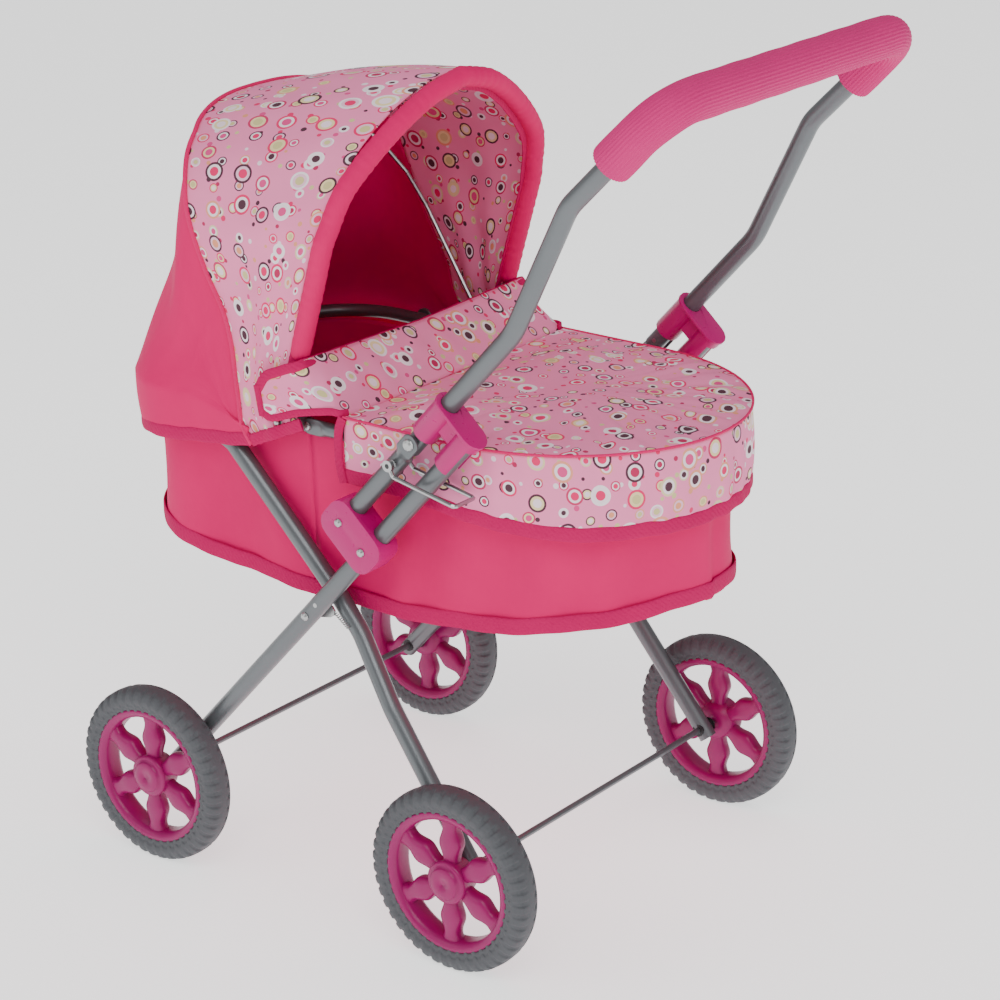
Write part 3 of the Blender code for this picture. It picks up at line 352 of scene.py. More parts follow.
def grid_object(name: str, grid: Array, finish: Finish, wrap: bool = False, caps: bool = False
                ) -> bpy.types.Object:
    """Makes a mesh from a grid of points.

    Args:
        name: the object's name.
        grid: rows x columns x 3, in drawing metres.
        finish: its finish.
        wrap: whether the columns close into rings.
        caps: whether to close the first and last ring.
    Returns:
        The object, at the origin, smooth, with a UV map in metres.
    """
    rows, columns = grid.shape[:2]
    index = np.arange(rows * columns).reshape(rows, columns)
    right = np.roll(index, -1, axis=1) if wrap else index[:, 1:]
    left = index if wrap else index[:, :-1]
    faces = np.stack([left[:-1], right[:-1], right[1:], left[1:]], axis=-1).reshape(-1, 4).tolist()
    if caps:
        faces += [index[0, ::-1].tolist(), index[-1].tolist()]
    mesh = bpy.data.meshes.new(name)
    points = grid.reshape(-1, 3) - [0, AXLE_MID, 0]
    mesh.from_pydata(points.tolist(), [], faces)
    closed = np.concatenate([grid, grid[:, :1]], axis=1)
    u = arc_lengths(closed, 1)
    v = arc_lengths(grid, 0).mean(axis=1)[:, None] + 0 * u
    u = u - u[:, :columns].mean(axis=1)[:, None]
    column = np.tile(np.arange(columns), rows)
    row = np.repeat(np.arange(rows), columns)
    loops = np.empty(len(mesh.loops), int)
    mesh.loops.foreach_get("vertex_index", loops)
    wide = column[loops].copy()
    if wrap:
        quads = len(mesh.loops) - (2 * columns if caps else 0)
        corners = wide[:quads].reshape(-1, 4)
        corners[(corners[:, 0] == columns - 1), 1:3] = columns
    layer = mesh.uv_layers.new(name="metres")
    layer.data.foreach_set("uv", np.stack([u[row[loops], wide], v[row[loops], 0]], axis=1).ravel())
    mesh.shade_smooth()
    if caps:
        mesh.set_sharp_from_angle(angle=math.radians(50))
    thing = bpy.data.objects.new(name, mesh)
    bpy.context.collection.objects.link(thing)
    thing.data.materials.append(PALETTE[finish])
    return thing


def tube(name: str, path: Array, radius: float | Array, finish: Finish, sides: int = 28,
         up: Sequence[float] = (1, 0, 0), ribs: int = 0, rib: float = 0.0) -> bpy.types.Object:
    """A round bar along a path.

    The surface is p(s) + r(s) (1 + rib cos(ribs a)) (cos a side + sin a up).
    """
    _, side, normal = frames(path, np.asarray(up))
    a = np.linspace(0, 2 * np.pi, sides, endpoint=False)
    r = np.broadcast_to(np.asarray(radius, float), (len(path),))[:, None] + rib * np.cos(ribs * a)[None]
    grid = (path[:, None] + (r * np.cos(a))[..., None] * side[:, None]
            + (r * np.sin(a))[..., None] * normal[:, None])
    return grid_object(name, grid[:, ::-1], finish, wrap=True, caps=True)


def shaped_bar(name: str, path: Array, shapes: Array, finish: Finish, sides: int = 32) -> bpy.types.Object:
    """A bar whose section changes along its path, such as a tube with an end crushed flat.

    Args:
        name: the object's name.
        path: rows x 3.
        shapes: rows x 4: half size across, half size along X, squareness from 1 (round) down, X shift.
        finish: its finish.
        sides: points round each section.
    """
    _, side, normal = frames(path, np.array([1.0, 0, 0]))
    a = np.linspace(0, 2 * np.pi, sides, endpoint=False)
    power = shapes[:, 2:3]
    c = np.sign(np.cos(a)) * np.abs(np.cos(a)) ** power * shapes[:, :1]
    s = np.sign(np.sin(a)) * np.abs(np.sin(a)) ** power * shapes[:, 1:2]
    centre = path + shapes[:, 3:4] * [1, 0, 0]
    grid = centre[:, None] + c[..., None] * side[:, None] + s[..., None] * normal[:, None]
    return grid_object(name, grid[:, ::-1], finish, wrap=True, caps=True)


def turned(name: str, profile: Array, centre: Array, finish: Finish, segments: int = 96,
           relief: Callable[[Array, Array], Array] | None = None) -> bpy.types.Object:
    """A closed profile of (x, radius) turned about X: (x, r cos a, r sin a)."""
    a = np.linspace(0, 2 * np.pi, segments, endpoint=False)[:, None]
    x = np.broadcast_to(profile[:, 0], (segments, len(profile)))
    r = np.broadcast_to(profile[:, 1], x.shape)
    if relief is not None:
        r = r + relief(a, x)
    grid = np.stack([x, r * np.cos(a), r * np.sin(a)], axis=-1) + centre
    closed = np.concatenate([grid, grid[:1]])
    made = grid_object(name, closed, finish, wrap=True)
    return made


def thicken(thing: bpy.types.Object, thickness: float = CLOTH, offset: float = -1.0) -> bpy.types.Object:
    """Gives an open surface its thickness."""
    solid = thing.modifiers.new("thickness", "SOLIDIFY")
    solid.thickness = thickness
    solid.offset = offset
    return thing


def ribbon(name: str, path: Array, outward: Array, width: float, thick: float, finish: Finish,
           waver: float = 0.0) -> bpy.types.Object:
    """A tape along an edge: an oval section, wide along the cloth and thin across it.

    Args:
        name: the object's name.
        path: the edge.
        outward: the cloth's outward direction at each point of the edge.
        width: across the tape.
        thick: through the tape.
        finish: its finish.
        waver: how far the tape's line wanders.
    """
    tangent, _, _ = frames(path, np.array([0.3, 0.2, 0.9]))
    out = outward - tangent * np.sum(outward * tangent, axis=1)[:, None]
    out /= np.linalg.norm(out, axis=1)[:, None] + 1e-9
    side = np.cross(tangent, out)
    s = np.linspace(0, 1, len(path))
    path = path + side * (waver * np.sin(s * 37) * np.sin(s * 91 + 1))[:, None]
    a = np.linspace(0, 2 * np.pi, 16, endpoint=False)
    c = np.sign(np.cos(a)) * np.abs(np.cos(a)) ** 0.6 * width / 2
    z = np.sign(np.sin(a)) * np.abs(np.sin(a)) ** 0.8 * thick / 2
    grid = path[:, None] + c[None, :, None] * side[:, None] + z[None, :, None] * out[:, None]
    return grid_object(name, grid, finish, wrap=True, caps=True)


def creases(s: Array, t: Array, seed: int, count: int, fineness: float) -> Array:
    """Soft folds from -1 to 1: a sum of waves that run mostly down the cloth (t) and wander along it."""
    rng = np.random.default_rng(seed)
    total = np.zeros(np.broadcast(s, t).shape)
    for k in range(count):
        wave = fineness * (0.5 + rng.random() * 1.3)
        lean = (rng.random() - 0.5) * 0.05
        phase = rng.random() * 6.28
        total = total + np.sin(2 * np.pi * (s + lean * t) * wave + phase) / (1 + 0.35 * k)
    return total / count**0.5


def surface_area(grid: Array) -> float:
    """The area of a grid of points, in square metres."""
    a = np.cross(grid[1:, :-1] - grid[:-1, :-1], grid[:-1, 1:] - grid[:-1, :-1])
    b = np.cross(grid[:-1, 1:] - grid[1:, 1:], grid[1:, :-1] - grid[1:, 1:])
    return float((np.linalg.norm(a, axis=2).sum() + np.linalg.norm(b, axis=2).sum()) / 2)


def flat_size(grid: Array) -> tuple[float, float]:
    """How wide and long the cloth is when it lies flat."""
    return (float(arc_lengths(grid, 1)[:, -1].max()), float(arc_lengths(grid, 0)[-1].max()))


def declare_sheet(grid: Array) -> None:
    """Works out a cloth sheet's flat size and area, which are not kept."""
    width, length = flat_size(grid)
    area = min(surface_area(grid), width * length)


PALETTE = Palette()


def outline(half: float, rear: float, middle: float, front: float, corner: float,
            count: int = 160) -> Array:
    """A closed plan outline at z = 0: a half ellipse from y = middle back, rounded corners at the front."""
    a = np.linspace(np.pi / 2, 0, 30)
    back = np.stack([half * np.cos(a), middle + (rear - middle) * np.sin(a), 0 * a], axis=1)
    b = np.linspace(0, np.pi / 2, 14)
    corner_run = np.stack([half - corner + corner * np.cos(b), front + corner - corner * np.sin(b), 0 * b],
                          axis=1)
    left = np.vstack([back, corner_run, [[0, front, 0]]])
    return even(np.vstack([left, (left * [-1, 1, 1])[-2::-1]]), count + 1)[:-1]


def outline_normal(loop: Array) -> Array:
    """Outward directions of a closed plan outline that runs clockwise from above."""
    along = np.roll(loop, -1, axis=0) - np.roll(loop, 1, axis=0)
    normal = np.stack([-along[:, 1], along[:, 0], 0 * along[:, 0]], axis=1)
    return normal / np.linalg.norm(normal, axis=1)[:, None]


# ---------------------------------------------------------------- assemblies

@dataclass
class Wheels:
    """Four wheels: grey tyres with a block tread on pink moulded wheels with swelling spokes."""

    radius: float = 0.0635
    half_width: float = 0.01025
    spokes: int = 6
    blocks: int = 44

    def tread(self, angle: Array, x: Array) -> Array:
        """Notches that cross the shoulders in a wave: -d for the part of each pitch that is a groove."""
        phase = angle * self.blocks + 1.4 * np.sin(x / self.half_width * 2.2)
        groove = 1 / (1 + np.exp((np.cos(phase) + 0.35) * 9))
        edge = np.clip((np.abs(x) - 0.0025) / 0.004, 0, 1)
        return -0.0016 * groove * edge

    def tyre(self, name: str, centre: Array, body: str) -> bpy.types.Object:
        """One tyre: a rounded crown, flat walls with a ridge, and the seat on the rim."""
        h, r = self.half_width, self.radius
        half = [(0, r), (0.45 * h, r - 0.0003), (0.72 * h, r - 0.0013), (0.9 * h, r - 0.0036),
                (h, r - 0.0068), (0.985 * h, r - 0.0095), (0.9 * h, r - 0.0112), (0.92 * h, r - 0.0128),
                (0.86 * h, r - 0.0147)]
        profile = np.array([(-x, y) for x, y in half[:0:-1]] + half + [(0, r - 0.0147)])
        fine = np.vstack([even(np.column_stack([profile, 0 * profile[:, 0]]), 56)[:, :2]])

        def relief(angle: Array, x: Array) -> Array:
            """The tread, kept to the rows near the crown."""
            near_crown = (fine[:, 1] > r - 0.0075)[None, :]
            return self.tread(angle, x) * near_crown

        made = turned(name, fine[::-1], centre, TYRE, 704, relief)
        return self.place(made, body, name, "tyre")

    @staticmethod
    def place(thing: bpy.types.Object, body: str, node: str, slot: str) -> bpy.types.Object:
        """Puts a piece in its node's place."""
        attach(thing, body)
        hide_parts(node)
        return thing

    def moulding(self, name: str, centre: Array, outward: float, body: str) -> None:
        """One wheel: rim, swelling spokes and a boss with a round cap."""
        rim = np.array([(-0.0088, 0.0486), (0.0088, 0.0486), (0.0092, 0.0470), (0.0078, 0.0436),
                        (0.0050, 0.0424), (-0.0050, 0.0424), (-0.0078, 0.0436), (-0.0092, 0.0470)])
        parts = [turned(name + "_look", rim[::-1], centre, WHEEL_PINK, 96)]
        for k in range(self.spokes):
            a = 2 * math.pi * (k + 0.5) / self.spokes
            t = np.linspace(0, 1, 21)
            radial = np.array([0, math.cos(a), math.sin(a)])
            path = centre + radial * (0.009 + 0.0350 * t)[:, None] + [outward * 0.001, 0, 0]
            swell = (0.0052 + 0.0034 * np.exp(-((t - 0.50) / 0.20) ** 2)
                     + 0.0030 * np.clip(t - 0.82, 0, 1) * 5.5)
            deep = 0.0052 + 0.0010 * np.exp(-((t - 0.5) / 0.25) ** 2)
            shapes = np.stack([swell, deep, 0 * t + 0.72, 0 * t], axis=1)
            parts.append(shaped_bar(f"{name}_spoke_{k}", path, shapes, WHEEL_PINK, 28))
        cap = [(-0.0080, 0.0001), (-0.0080, 0.0125), (0.0070, 0.0150), (0.0088, 0.0146), (0.0094, 0.0132),
               (0.0094, 0.0112), (0.0112, 0.0108), (0.0118, 0.0100), (0.0120, 0.0001)]
        profile = np.array([(x * outward, r) for x, r in cap])
        parts.append(turned(f"{name}_boss", profile if outward < 0 else profile[::-1], centre,
                            WHEEL_PINK, 64))
        self.place(join(parts), body, name, "magenta_plastic")

    def build(self) -> None:
        """Makes all four."""
        for end, axle, x in (("front", AXLE_FRONT, 0.15083), ("rear", AXLE_REAR, 0.15400)):
            for side, sign in SIDES:
                centre = axle + [sign * x, 0, 0]
                body = f"wheel_{end}_{side}"
                self.tyre(f"{end}_tyre_{side}", centre, body)
                self.moulding(f"{end}_wheel_{side}", centre, sign, body)


def join(things: Sequence[bpy.types.Object]) -> bpy.types.Object:
    """Joins objects into the first."""
    with bpy.context.temp_override(active_object=things[0], selected_editable_objects=list(things)):
        bpy.ops.object.join()
    return things[0]


@dataclass
class Tubes:
    """The steel tube frame: legs, link tubes, hoop halves and handle."""

    radius: float = 0.00635
    leg_x: float = 0.1330

    def flat_end(self, name: str, points: Path, radii: Sequence[float], tab_x: float, body: str,
                 flat_from: float, flat_at: float, both: bool = False, radius: float | None = None,
                 tab_half: float = 0.0066) -> None:
        """A tube whose end, or both ends, are crushed into a flat tab centred on x = tab_x."""
        r = radius or self.radius
        path = even(rounded(points, radii) if radii else np.asarray(points, float), 150)
        path = even(path, 220)
        length = np.concatenate([[0], np.cumsum(np.linalg.norm(np.diff(path, axis=0), axis=1))])
        left = length[-1] - length
        if both:
            left = np.minimum(left, length)
        share = np.clip((flat_from - left) / (flat_from - flat_at), 0, 1)
        share = share * share * (3 - 2 * share)
        tip = np.sqrt(np.clip(1 - np.clip(1 - left / (tab_half * 0.8), 0, 1) ** 2, 0.05, 1))
        across = (r + (tab_half - r) * share) * tip
        shift = share * (np.where(path[:, 0] < 0, -abs(tab_x), abs(tab_x)) - path[:, 0])
        shapes = np.stack([across, r + (0.0011 - r) * share, 1 - 0.45 * share, shift], axis=1)
        made = shaped_bar(name + "_look", path, shapes, PAINT)
        Wheels.place(made, body, name, "paint")

    def build(self) -> None:
        """Makes every tube."""
        r = self.radius
        for side, sign in SIDES:
            leg = np.array([on_leg(sign * self.leg_x, a) for a in (-0.0076, 0.395)])
            made = tube(f"front_leg_{side}_look", even(leg, 30), r, PAINT, 36)
            Wheels.place(made, "frame", f"front_leg_{side}", "paint")
            link = [on_leg(sign * 0.1345, a, 0.0246) for a in (0.264, 0.3706)]
            self.flat_end(f"link_tube_{side}", link, (), sign * 0.14105, "frame", 0.0206, 0.0132)
            rear = [(sign * x, y, z) for x, y, z in (
                (0.1344, 0.1380, 0.0574), (0.1280, 0.0636, 0.1555), (0.1158, 0.0284, 0.1965),
                (0.1150, 0.0089, 0.2193), (0.1150, -0.1086, 0.3376))]
            self.flat_end(f"rear_leg_{side}", rear, (0.05, 0.05, 0.05), sign * 0.11975, "rear_legs",
                          0.044, 0.034)
        self.hoops()
        self.handle()

    def hoops(self) -> None:
        """Both halves of the basket hoop, lapped and riveted at the sides."""
        x, z = 0.1135, HOOP_Z
        a = np.linspace(0, np.pi, 60)
        rear = np.stack([x * np.cos(a), 0.1140 + 0.1125 * np.sin(a), 0 * a + z], axis=1)
        rear = np.vstack([[[x, -0.017, z]], rear, [[-x, -0.017, z]]])
        self.flat_end("rear_hoop", rear, (), 0.11475, "rear_hoop", 0.0205, 0.0145, True, 0.00475, 0.0056)
        front = rounded([(x, -0.008, z), (x, -0.185, z), (-x, -0.185, z), (-x, -0.008, z)], (0.06, 0.06), 20)
        self.flat_end("front_hoop", front, (), 0.11225, "front_hoop", 0.0205, 0.0145, True, 0.00475, 0.0056)

    def handle(self) -> None:
        """The handle tube and its ribbed foam grip."""
        side = [on_leg(self.leg_x, 0.357, 0.0246), on_leg(self.leg_x, 0.478, 0.0246)]
        knee = side[1] + 0.0947 * np.array([0, math.cos(math.radians(63.7)), math.sin(math.radians(63.7))])
        bar = knee + 0.0958 * np.array([0, math.sqrt(0.5), math.sqrt(0.5)])
        points = [*side, knee, bar]
        points = points + [p * [-1, 1, 1] for p in points[::-1]]
        path = rounded(points, (0.05, 0.035, 0.028, 0.028, 0.035, 0.05), 16)
        made = tube("handle_tube_look", even(path, 320), self.radius, PAINT, 36)
        Wheels.place(made, "handle", "handle_tube", "paint")
        low = bar - 0.054 * np.array([0, math.sqrt(0.5), math.sqrt(0.5)])
        held = path[path[:, 2] > low[2] + 0.0005]
        held = np.vstack([[[self.leg_x, *low[1:]]], held, [[-self.leg_x, *low[1:]]]])
        held = even(held, 260)
        run = np.linspace(0, 1, len(held))
        end = np.clip(np.minimum(run, 1 - run) / 0.006, 0, 1)
        size = 0.0131 * (0.80 + 0.20 * np.sqrt(1 - (1 - end) ** 2)) + 0.00015 * np.sin(run * 60)
        grip = tube("handle_grip_look", held, size, FOAM, 216, ribs=36, rib=0.00022)
        Wheels.place(grip, "handle", "handle_grip", "foam")


@dataclass
class Fittings:
    """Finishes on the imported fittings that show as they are."""

    slots: tuple[tuple[tuple[str, ...], Finish], ...] = (
        (("bracket_left", "bracket_right", "lock_left", "lock_right"), MAGENTA),
        (("front_bush_left", "front_bush_right", "rear_bush_left", "rear_bush_right"), BLACK),
        (("front_axle", "rear_axle"), PAINT),
    )

    def build(self, nodes: dict) -> None:
        """Paints and softens every CAD node that still shows."""
        finish_of = {name: finish for names, finish in self.slots for name in names}
        for name, node in nodes.items():
            if node.hide_render:
                continue
            node.data.materials.clear()
            node.data.materials.append(PALETTE[finish_of.get(name, STEEL)])
            node.data.shade_smooth()
            node.data.set_sharp_from_angle(angle=math.radians(32))
            if name.startswith(("bracket_left", "bracket_right", "lock")):
                weld = node.modifiers.new("weld", "WELD")
                weld.merge_threshold = 0.00002
                bevel = node.modifiers.new("edges", "BEVEL")
                bevel.width = 0.0009
                bevel.segments = 3
                bevel.limit_method = "ANGLE"
                bevel.angle_limit = math.radians(38)


@dataclass
class Tub:
    """The hanging tub and the padded foot cover with its upright wind flap."""

    half: float = 0.1080

    def basket(self) -> None:
        """Cloth walls from the hoop to the floor, which rises gently to both ends, and its binding."""
        loop = outline(self.half, 0.2290, 0.1000, -0.1895, 0.055, 240)
        normal = outline_normal(loop)
        s = np.linspace(0, 1, 240, endpoint=False)
        floor = 0.2100 + np.where(loop[:, 1] > 0, 0.42, 0.62) * loop[:, 1] ** 2
        rows = []
        for t in np.linspace(0, 1, 36):
            fold = 0.5 + 0.5 * creases(s * 1.25, t, 3, 7, 14.0)
            swag = 0.5 + 0.5 * creases(s * 1.25, 3 * t, 8, 5, 7.0)
            inward = 0.0046 * fold * math.sin(math.pi * t) ** 0.7 + 0.0040 * swag * t
            p = loop - normal * np.clip(inward, 0, 0.010)[:, None]
            p[:, 2] = (HOOP_Z - 0.0062) * (1 - t) + (floor + 0.0015 * (swag - 0.5)) * t
            rows.append(p)
        wall = np.array(rows)
        base = [wall[-1] * [1 - k, 1, 1] + [0, 0, 0.0045 * min(1, 8 * k)] for k in np.linspace(0, 0.998, 14)]
        grid = np.concatenate([wall, np.array(base[1:])])
        start = int(np.argmax((loop[:, 1] < HOOP_HINGE_Y) & (np.roll(loop[:, 1], 1) >= HOOP_HINGE_Y)))
        grid, normal = np.roll(grid, -start, axis=1), np.roll(normal, -start, axis=0)
        count = int(np.sum(loop[:, 1] < HOOP_HINGE_Y))
        self.half_tub("front", "front_hoop", grid[:, :count + 1], normal[:count + 1])
        rear = np.concatenate([grid[:, count:], grid[:, :1]], axis=1)
        self.half_tub("rear", "rear_hoop", rear, np.vstack([normal[count:], normal[:1]]))

    @staticmethod
    def half_tub(end: str, body: str, grid: Array, normal: Array) -> None:
        """One end of the tub, which moves with its half of the hoop.

        Args:
            end: "front" or "rear".
            body: the half of the hoop that it hangs from.
            grid: its rows from the hoop down, then in under the floor.
            normal: the outward direction at each column.
        """
        cloth = grid_object(f"basket_{end}", grid, HOT_PINK)
        flip_outward(cloth, np.array([0, 0.03, 0.29]))
        thicken(cloth, CLOTH, -1.0)
        edge = grid[35] + [0, 0, 0.0055] + normal * 0.0002
        tape = ribbon(f"basket_binding_{end}", edge, normal, 0.0115, 0.0018, TAPE, 0.0004)
        for piece in (cloth, tape):
            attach(piece, body)
            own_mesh(piece)
        if end == "rear":
            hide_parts("basket")
        declare_sheet(grid)

    @staticmethod
    def settle(thing: bpy.types.Object, grid: Array, node: str, slot: str, held: str,
               rests_on: Sequence[str], tapes: Sequence[bpy.types.Object],
               bodies: tuple[str, str] | str) -> None:
        """Hides a cloth piece's node, and makes it and its tapes move with their body when there is one;
        between two bodies they stay fixed where they are drawn.
        """
        for piece in (thing, *tapes):
            if isinstance(bodies, str):
                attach(piece, bodies)
            else:
                start, end = BENDS[bodies]
                start[0] - AXLE_MID
                start[1]
                end[0] - AXLE_MID
                end[1]
                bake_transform(piece)
        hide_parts(node)
        declare_sheet(grid)

    def edge(self, count: int = 200) -> Array:
        """The foot cover's outline from its left front corner round the rear to the right one."""
        a = np.linspace(0, np.pi / 2, 40)
        half, rear, centre = 0.1194, 0.2360, 0.1065
        curve = np.stack([half * np.cos(a), centre + (rear - centre) * np.sin(a),
                          0 * a], axis=1)
        left = np.vstack([[[half, 0.0215, 0]], curve])
        return even(mirrored(left), count)

    def apron(self) -> None:
        """A soft padded top with gathers at its seam, and the skirt that hangs over the hoop."""
        loop = self.edge()
        count = len(loop)
        centre = np.array([0, 0.110, 0])
        s = np.linspace(0, 1, count)
        rows = []
        for v in np.linspace(0.02, 1, 40):
            p = centre + (loop - centre) * v
            front = np.clip((p[:, 1] - 0.0215) / 0.030, 0, 1)
            fall = 0.0042 * (1 - v**4) * front
            pucker = 0.0022 * creases(s * 3, v, 11, 8, 9.0) * v**2 * front * (1 - v**12)
            lump = 0.0030 * np.sin(p[:, 0] * 47 + 1) * np.sin(p[:, 1] * 39 + 2) * (1 - v**6)
            p[:, 2] = 0.3468 + fall + pucker + lump
            rows.append(p)
        top = np.array(rows)
        normal = np.stack([np.gradient(loop[:, 1]), -np.gradient(loop[:, 0])], axis=1)
        normal /= np.linalg.norm(normal, axis=1)[:, None]
        normal = np.column_stack([normal, 0 * s])
        if normal[count // 2, 1] < 0:
            normal = -normal
        skirt = []
        for t in np.linspace(0, 1, 22):
            ripple = 0.0011 * creases(s * 2, 2 * t, 21, 7, 10.0) * math.sin(math.pi * min(t * 0.8, 1))
            rearward = np.clip((loop[:, 1] - 0.10) / 0.06, 0, 1)
            bulge = 0.0012 * math.sin(math.pi * min(1, t * 1.15)) ** 0.8 * rearward
            out = np.clip(bulge + ripple * np.clip((loop[:, 1] - 0.05) / 0.04, 0.25, 1), -0.0004, 0.006)
            p = loop + normal * out[:, None]
            drop = 0.0440 + 0.0125 * np.clip((loop[:, 1] - 0.07) / 0.11, 0, 1)
            p[:, 2] = 0.3465 - drop * t
            skirt.append(p)
        hang = np.array(skirt)
        lid = self.closed_top(top)
        side = grid_object("apron_skirt", hang[:, ::-1], PRINTED)
        flip_outward(side, np.array([0, 0.11, 0.33]))
        thicken(side, CLOTH, -1.0)
        seam = tube("apron_seam", top[-1] + normal * 0.0004 + [0, 0, 0.0001], 0.0009, PIPING, 10)
        hem = ribbon("apron_hem", hang[-1] + [0, 0, 0.0045], normal, 0.0100, 0.0018, TAPE, 0.0004)
        edges = []
        for word, sign in SIDES:
            line = smooth_path([(sign * 0.1203, 0.0215, 0.3466), (sign * 0.1206, 0.0180, 0.3360),
                                (sign * 0.1206, 0.0180, 0.3160), (sign * 0.1203, 0.0210, 0.3020)], 20)
            edges.append(ribbon(f"apron_edge_{word}", line, np.tile([sign, 0, 0], (20, 1)), 0.0070, 0.0020,
                                TAPE))
        for piece in (side, seam, hem, *edges):
            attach(piece, "rear_hoop")
        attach(lid, "rear_hoop")
        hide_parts("apron")
        declare_sheet(hang)

    @staticmethod
    def closed_top(top: Array) -> bpy.types.Object:
        """The padded top as one closed pad, flat underneath."""
        under = top[::-1] * [1, 1, 0] + [0, 0, 0.3432]
        under = under + (np.array([0, 0.11, 0.3432]) - under) * [0.004, 0.004, 0]
        grid = np.concatenate([top, under])
        lid = grid_object("apron_top", grid[:, ::-1], PRINTED, wrap=True, caps=True)
        layer = lid.data.uv_layers["metres"]
        loops = np.empty(len(lid.data.loops), int)
        lid.data.loops.foreach_get("vertex_index", loops)
        flat = grid[:, ::-1].reshape(-1, 3)[loops][:, :2]
        layer.data.foreach_set("uv", flat.ravel())
        flip_outward(lid, np.array([0, 0.11, 0.345]))
        return lid

    def flap(self) -> None:
        """The upright band across the front of the foot cover, its ends fastened to the hood's sides."""
        upper = smooth_path([(0.1246, -0.0485, 0.3560), (0.1240, -0.0410, 0.3662), (0.1222, -0.0276, 0.3727),
                             (0.1200, -0.0150, 0.3775), (0.1100, -0.0120, 0.3788), (0.0500, -0.0115, 0.3775),
                             (0.0, -0.0110, 0.3765)], 60)
        lower = smooth_path([(0.1246, -0.0445, 0.3378), (0.1244, -0.0360, 0.3346), (0.1236, -0.0140, 0.3420),
                             (0.1205, 0.0110, 0.3470), (0.1130, 0.0215, 0.3468), (0.0500, 0.0240, 0.3475),
                             (0.0, 0.0240, 0.3478)], 60)
        upper, lower = mirrored(upper), mirrored(lower)
        s = np.linspace(0, 1, len(upper))
        rows = []
        for t in np.linspace(0, 1, 16):
            p = upper * (1 - t) + lower * t
            lift = 0.0015 * math.sin(math.pi * t) * (1 + 0.8 * creases(s, t, 31, 6, 9.0))
            middle = np.clip((0.115 - np.abs(p[:, 0])) / 0.02, 0, 1)
            rows.append(p + np.stack([0 * s, lift * middle * 0.6, lift * middle * 0.8], axis=1))
        grid = np.array(rows)
        band = grid_object("wind_flap_look", grid, PRINTED)
        flip_outward(band, np.array([0, -0.06, 0.32]))
        thicken(band, CLOTH, -1.0)
        out = np.tile([0.0, 0.68, 0.73], (len(upper), 1))
        out[np.abs(upper[:, 0]) > 0.118] = [1, 0.1, 0.1]
        out[:, 0] *= np.sign(upper[:, 0])
        blur = np.ones(9) / 9
        out = np.stack([np.convolve(np.pad(out[:, k], 4, "edge"), blur, "valid") for k in range(3)], axis=1)
        top = ribbon("flap_top_tape", upper + [0, 0.0008, -0.0022], out, 0.0068, 0.0019, TAPE, 0.0003)
        low = lower[np.abs(lower[:, 0]) > 0.112]
        tapes = [top]
        for name, run in (("left", low[low[:, 0] > 0]), ("right", low[low[:, 0] < 0])):
            side_out = np.tile([math.copysign(1, run[0, 0]), 0.1, 0.1], (len(run), 1))
            tapes.append(ribbon(f"flap_low_tape_{name}", run + [0, 0, 0.0018], side_out, 0.0050, 0.0018,
                                TAPE))
        for side, sign in SIDES:
            tab = smooth_path([(sign * 0.1250, -0.0478, 0.3570), (sign * 0.1250, -0.0440, 0.3365)], 8)
            tapes.append(ribbon(f"flap_end_{side}", tab, np.tile([sign, 0, 0], (8, 1)), 0.0050, 0.0020, TAPE))
        self.settle(band, grid, "wind_flap", "printed_cloth", "stretched", ["hood_canopy"], tapes,
                    ("rear_hoop", "front_hoop"))


def flip_outward(thing: bpy.types.Object, inside: Array) -> None:
    """Turns an open surface's faces away from a point inside it."""
    mesh = thing.data
    centre = np.empty(len(mesh.polygons) * 3)
    normal = np.empty(len(mesh.polygons) * 3)
    mesh.polygons.foreach_get("center", centre)
    mesh.polygons.foreach_get("normal", normal)
    away = centre.reshape(-1, 3) - (inside - [0, AXLE_MID, 0])
    if np.sum(away * normal.reshape(-1, 3)) < 0:
        mesh.flip_normals()


BENDS: dict[tuple[str, str], tuple[tuple[float, float], tuple[float, float]]] = {
    ("rear_hoop", "front_hoop"): ((0.0060, 0.35), (-0.0330, 0.35)),
    ("hood_rear", "hood_front"): ((-0.115, 0.46), (-0.020, 0.46)),
    ("front_hoop", "hood_rear"): ((-0.165, 0.345), (-0.135, 0.470)),
}


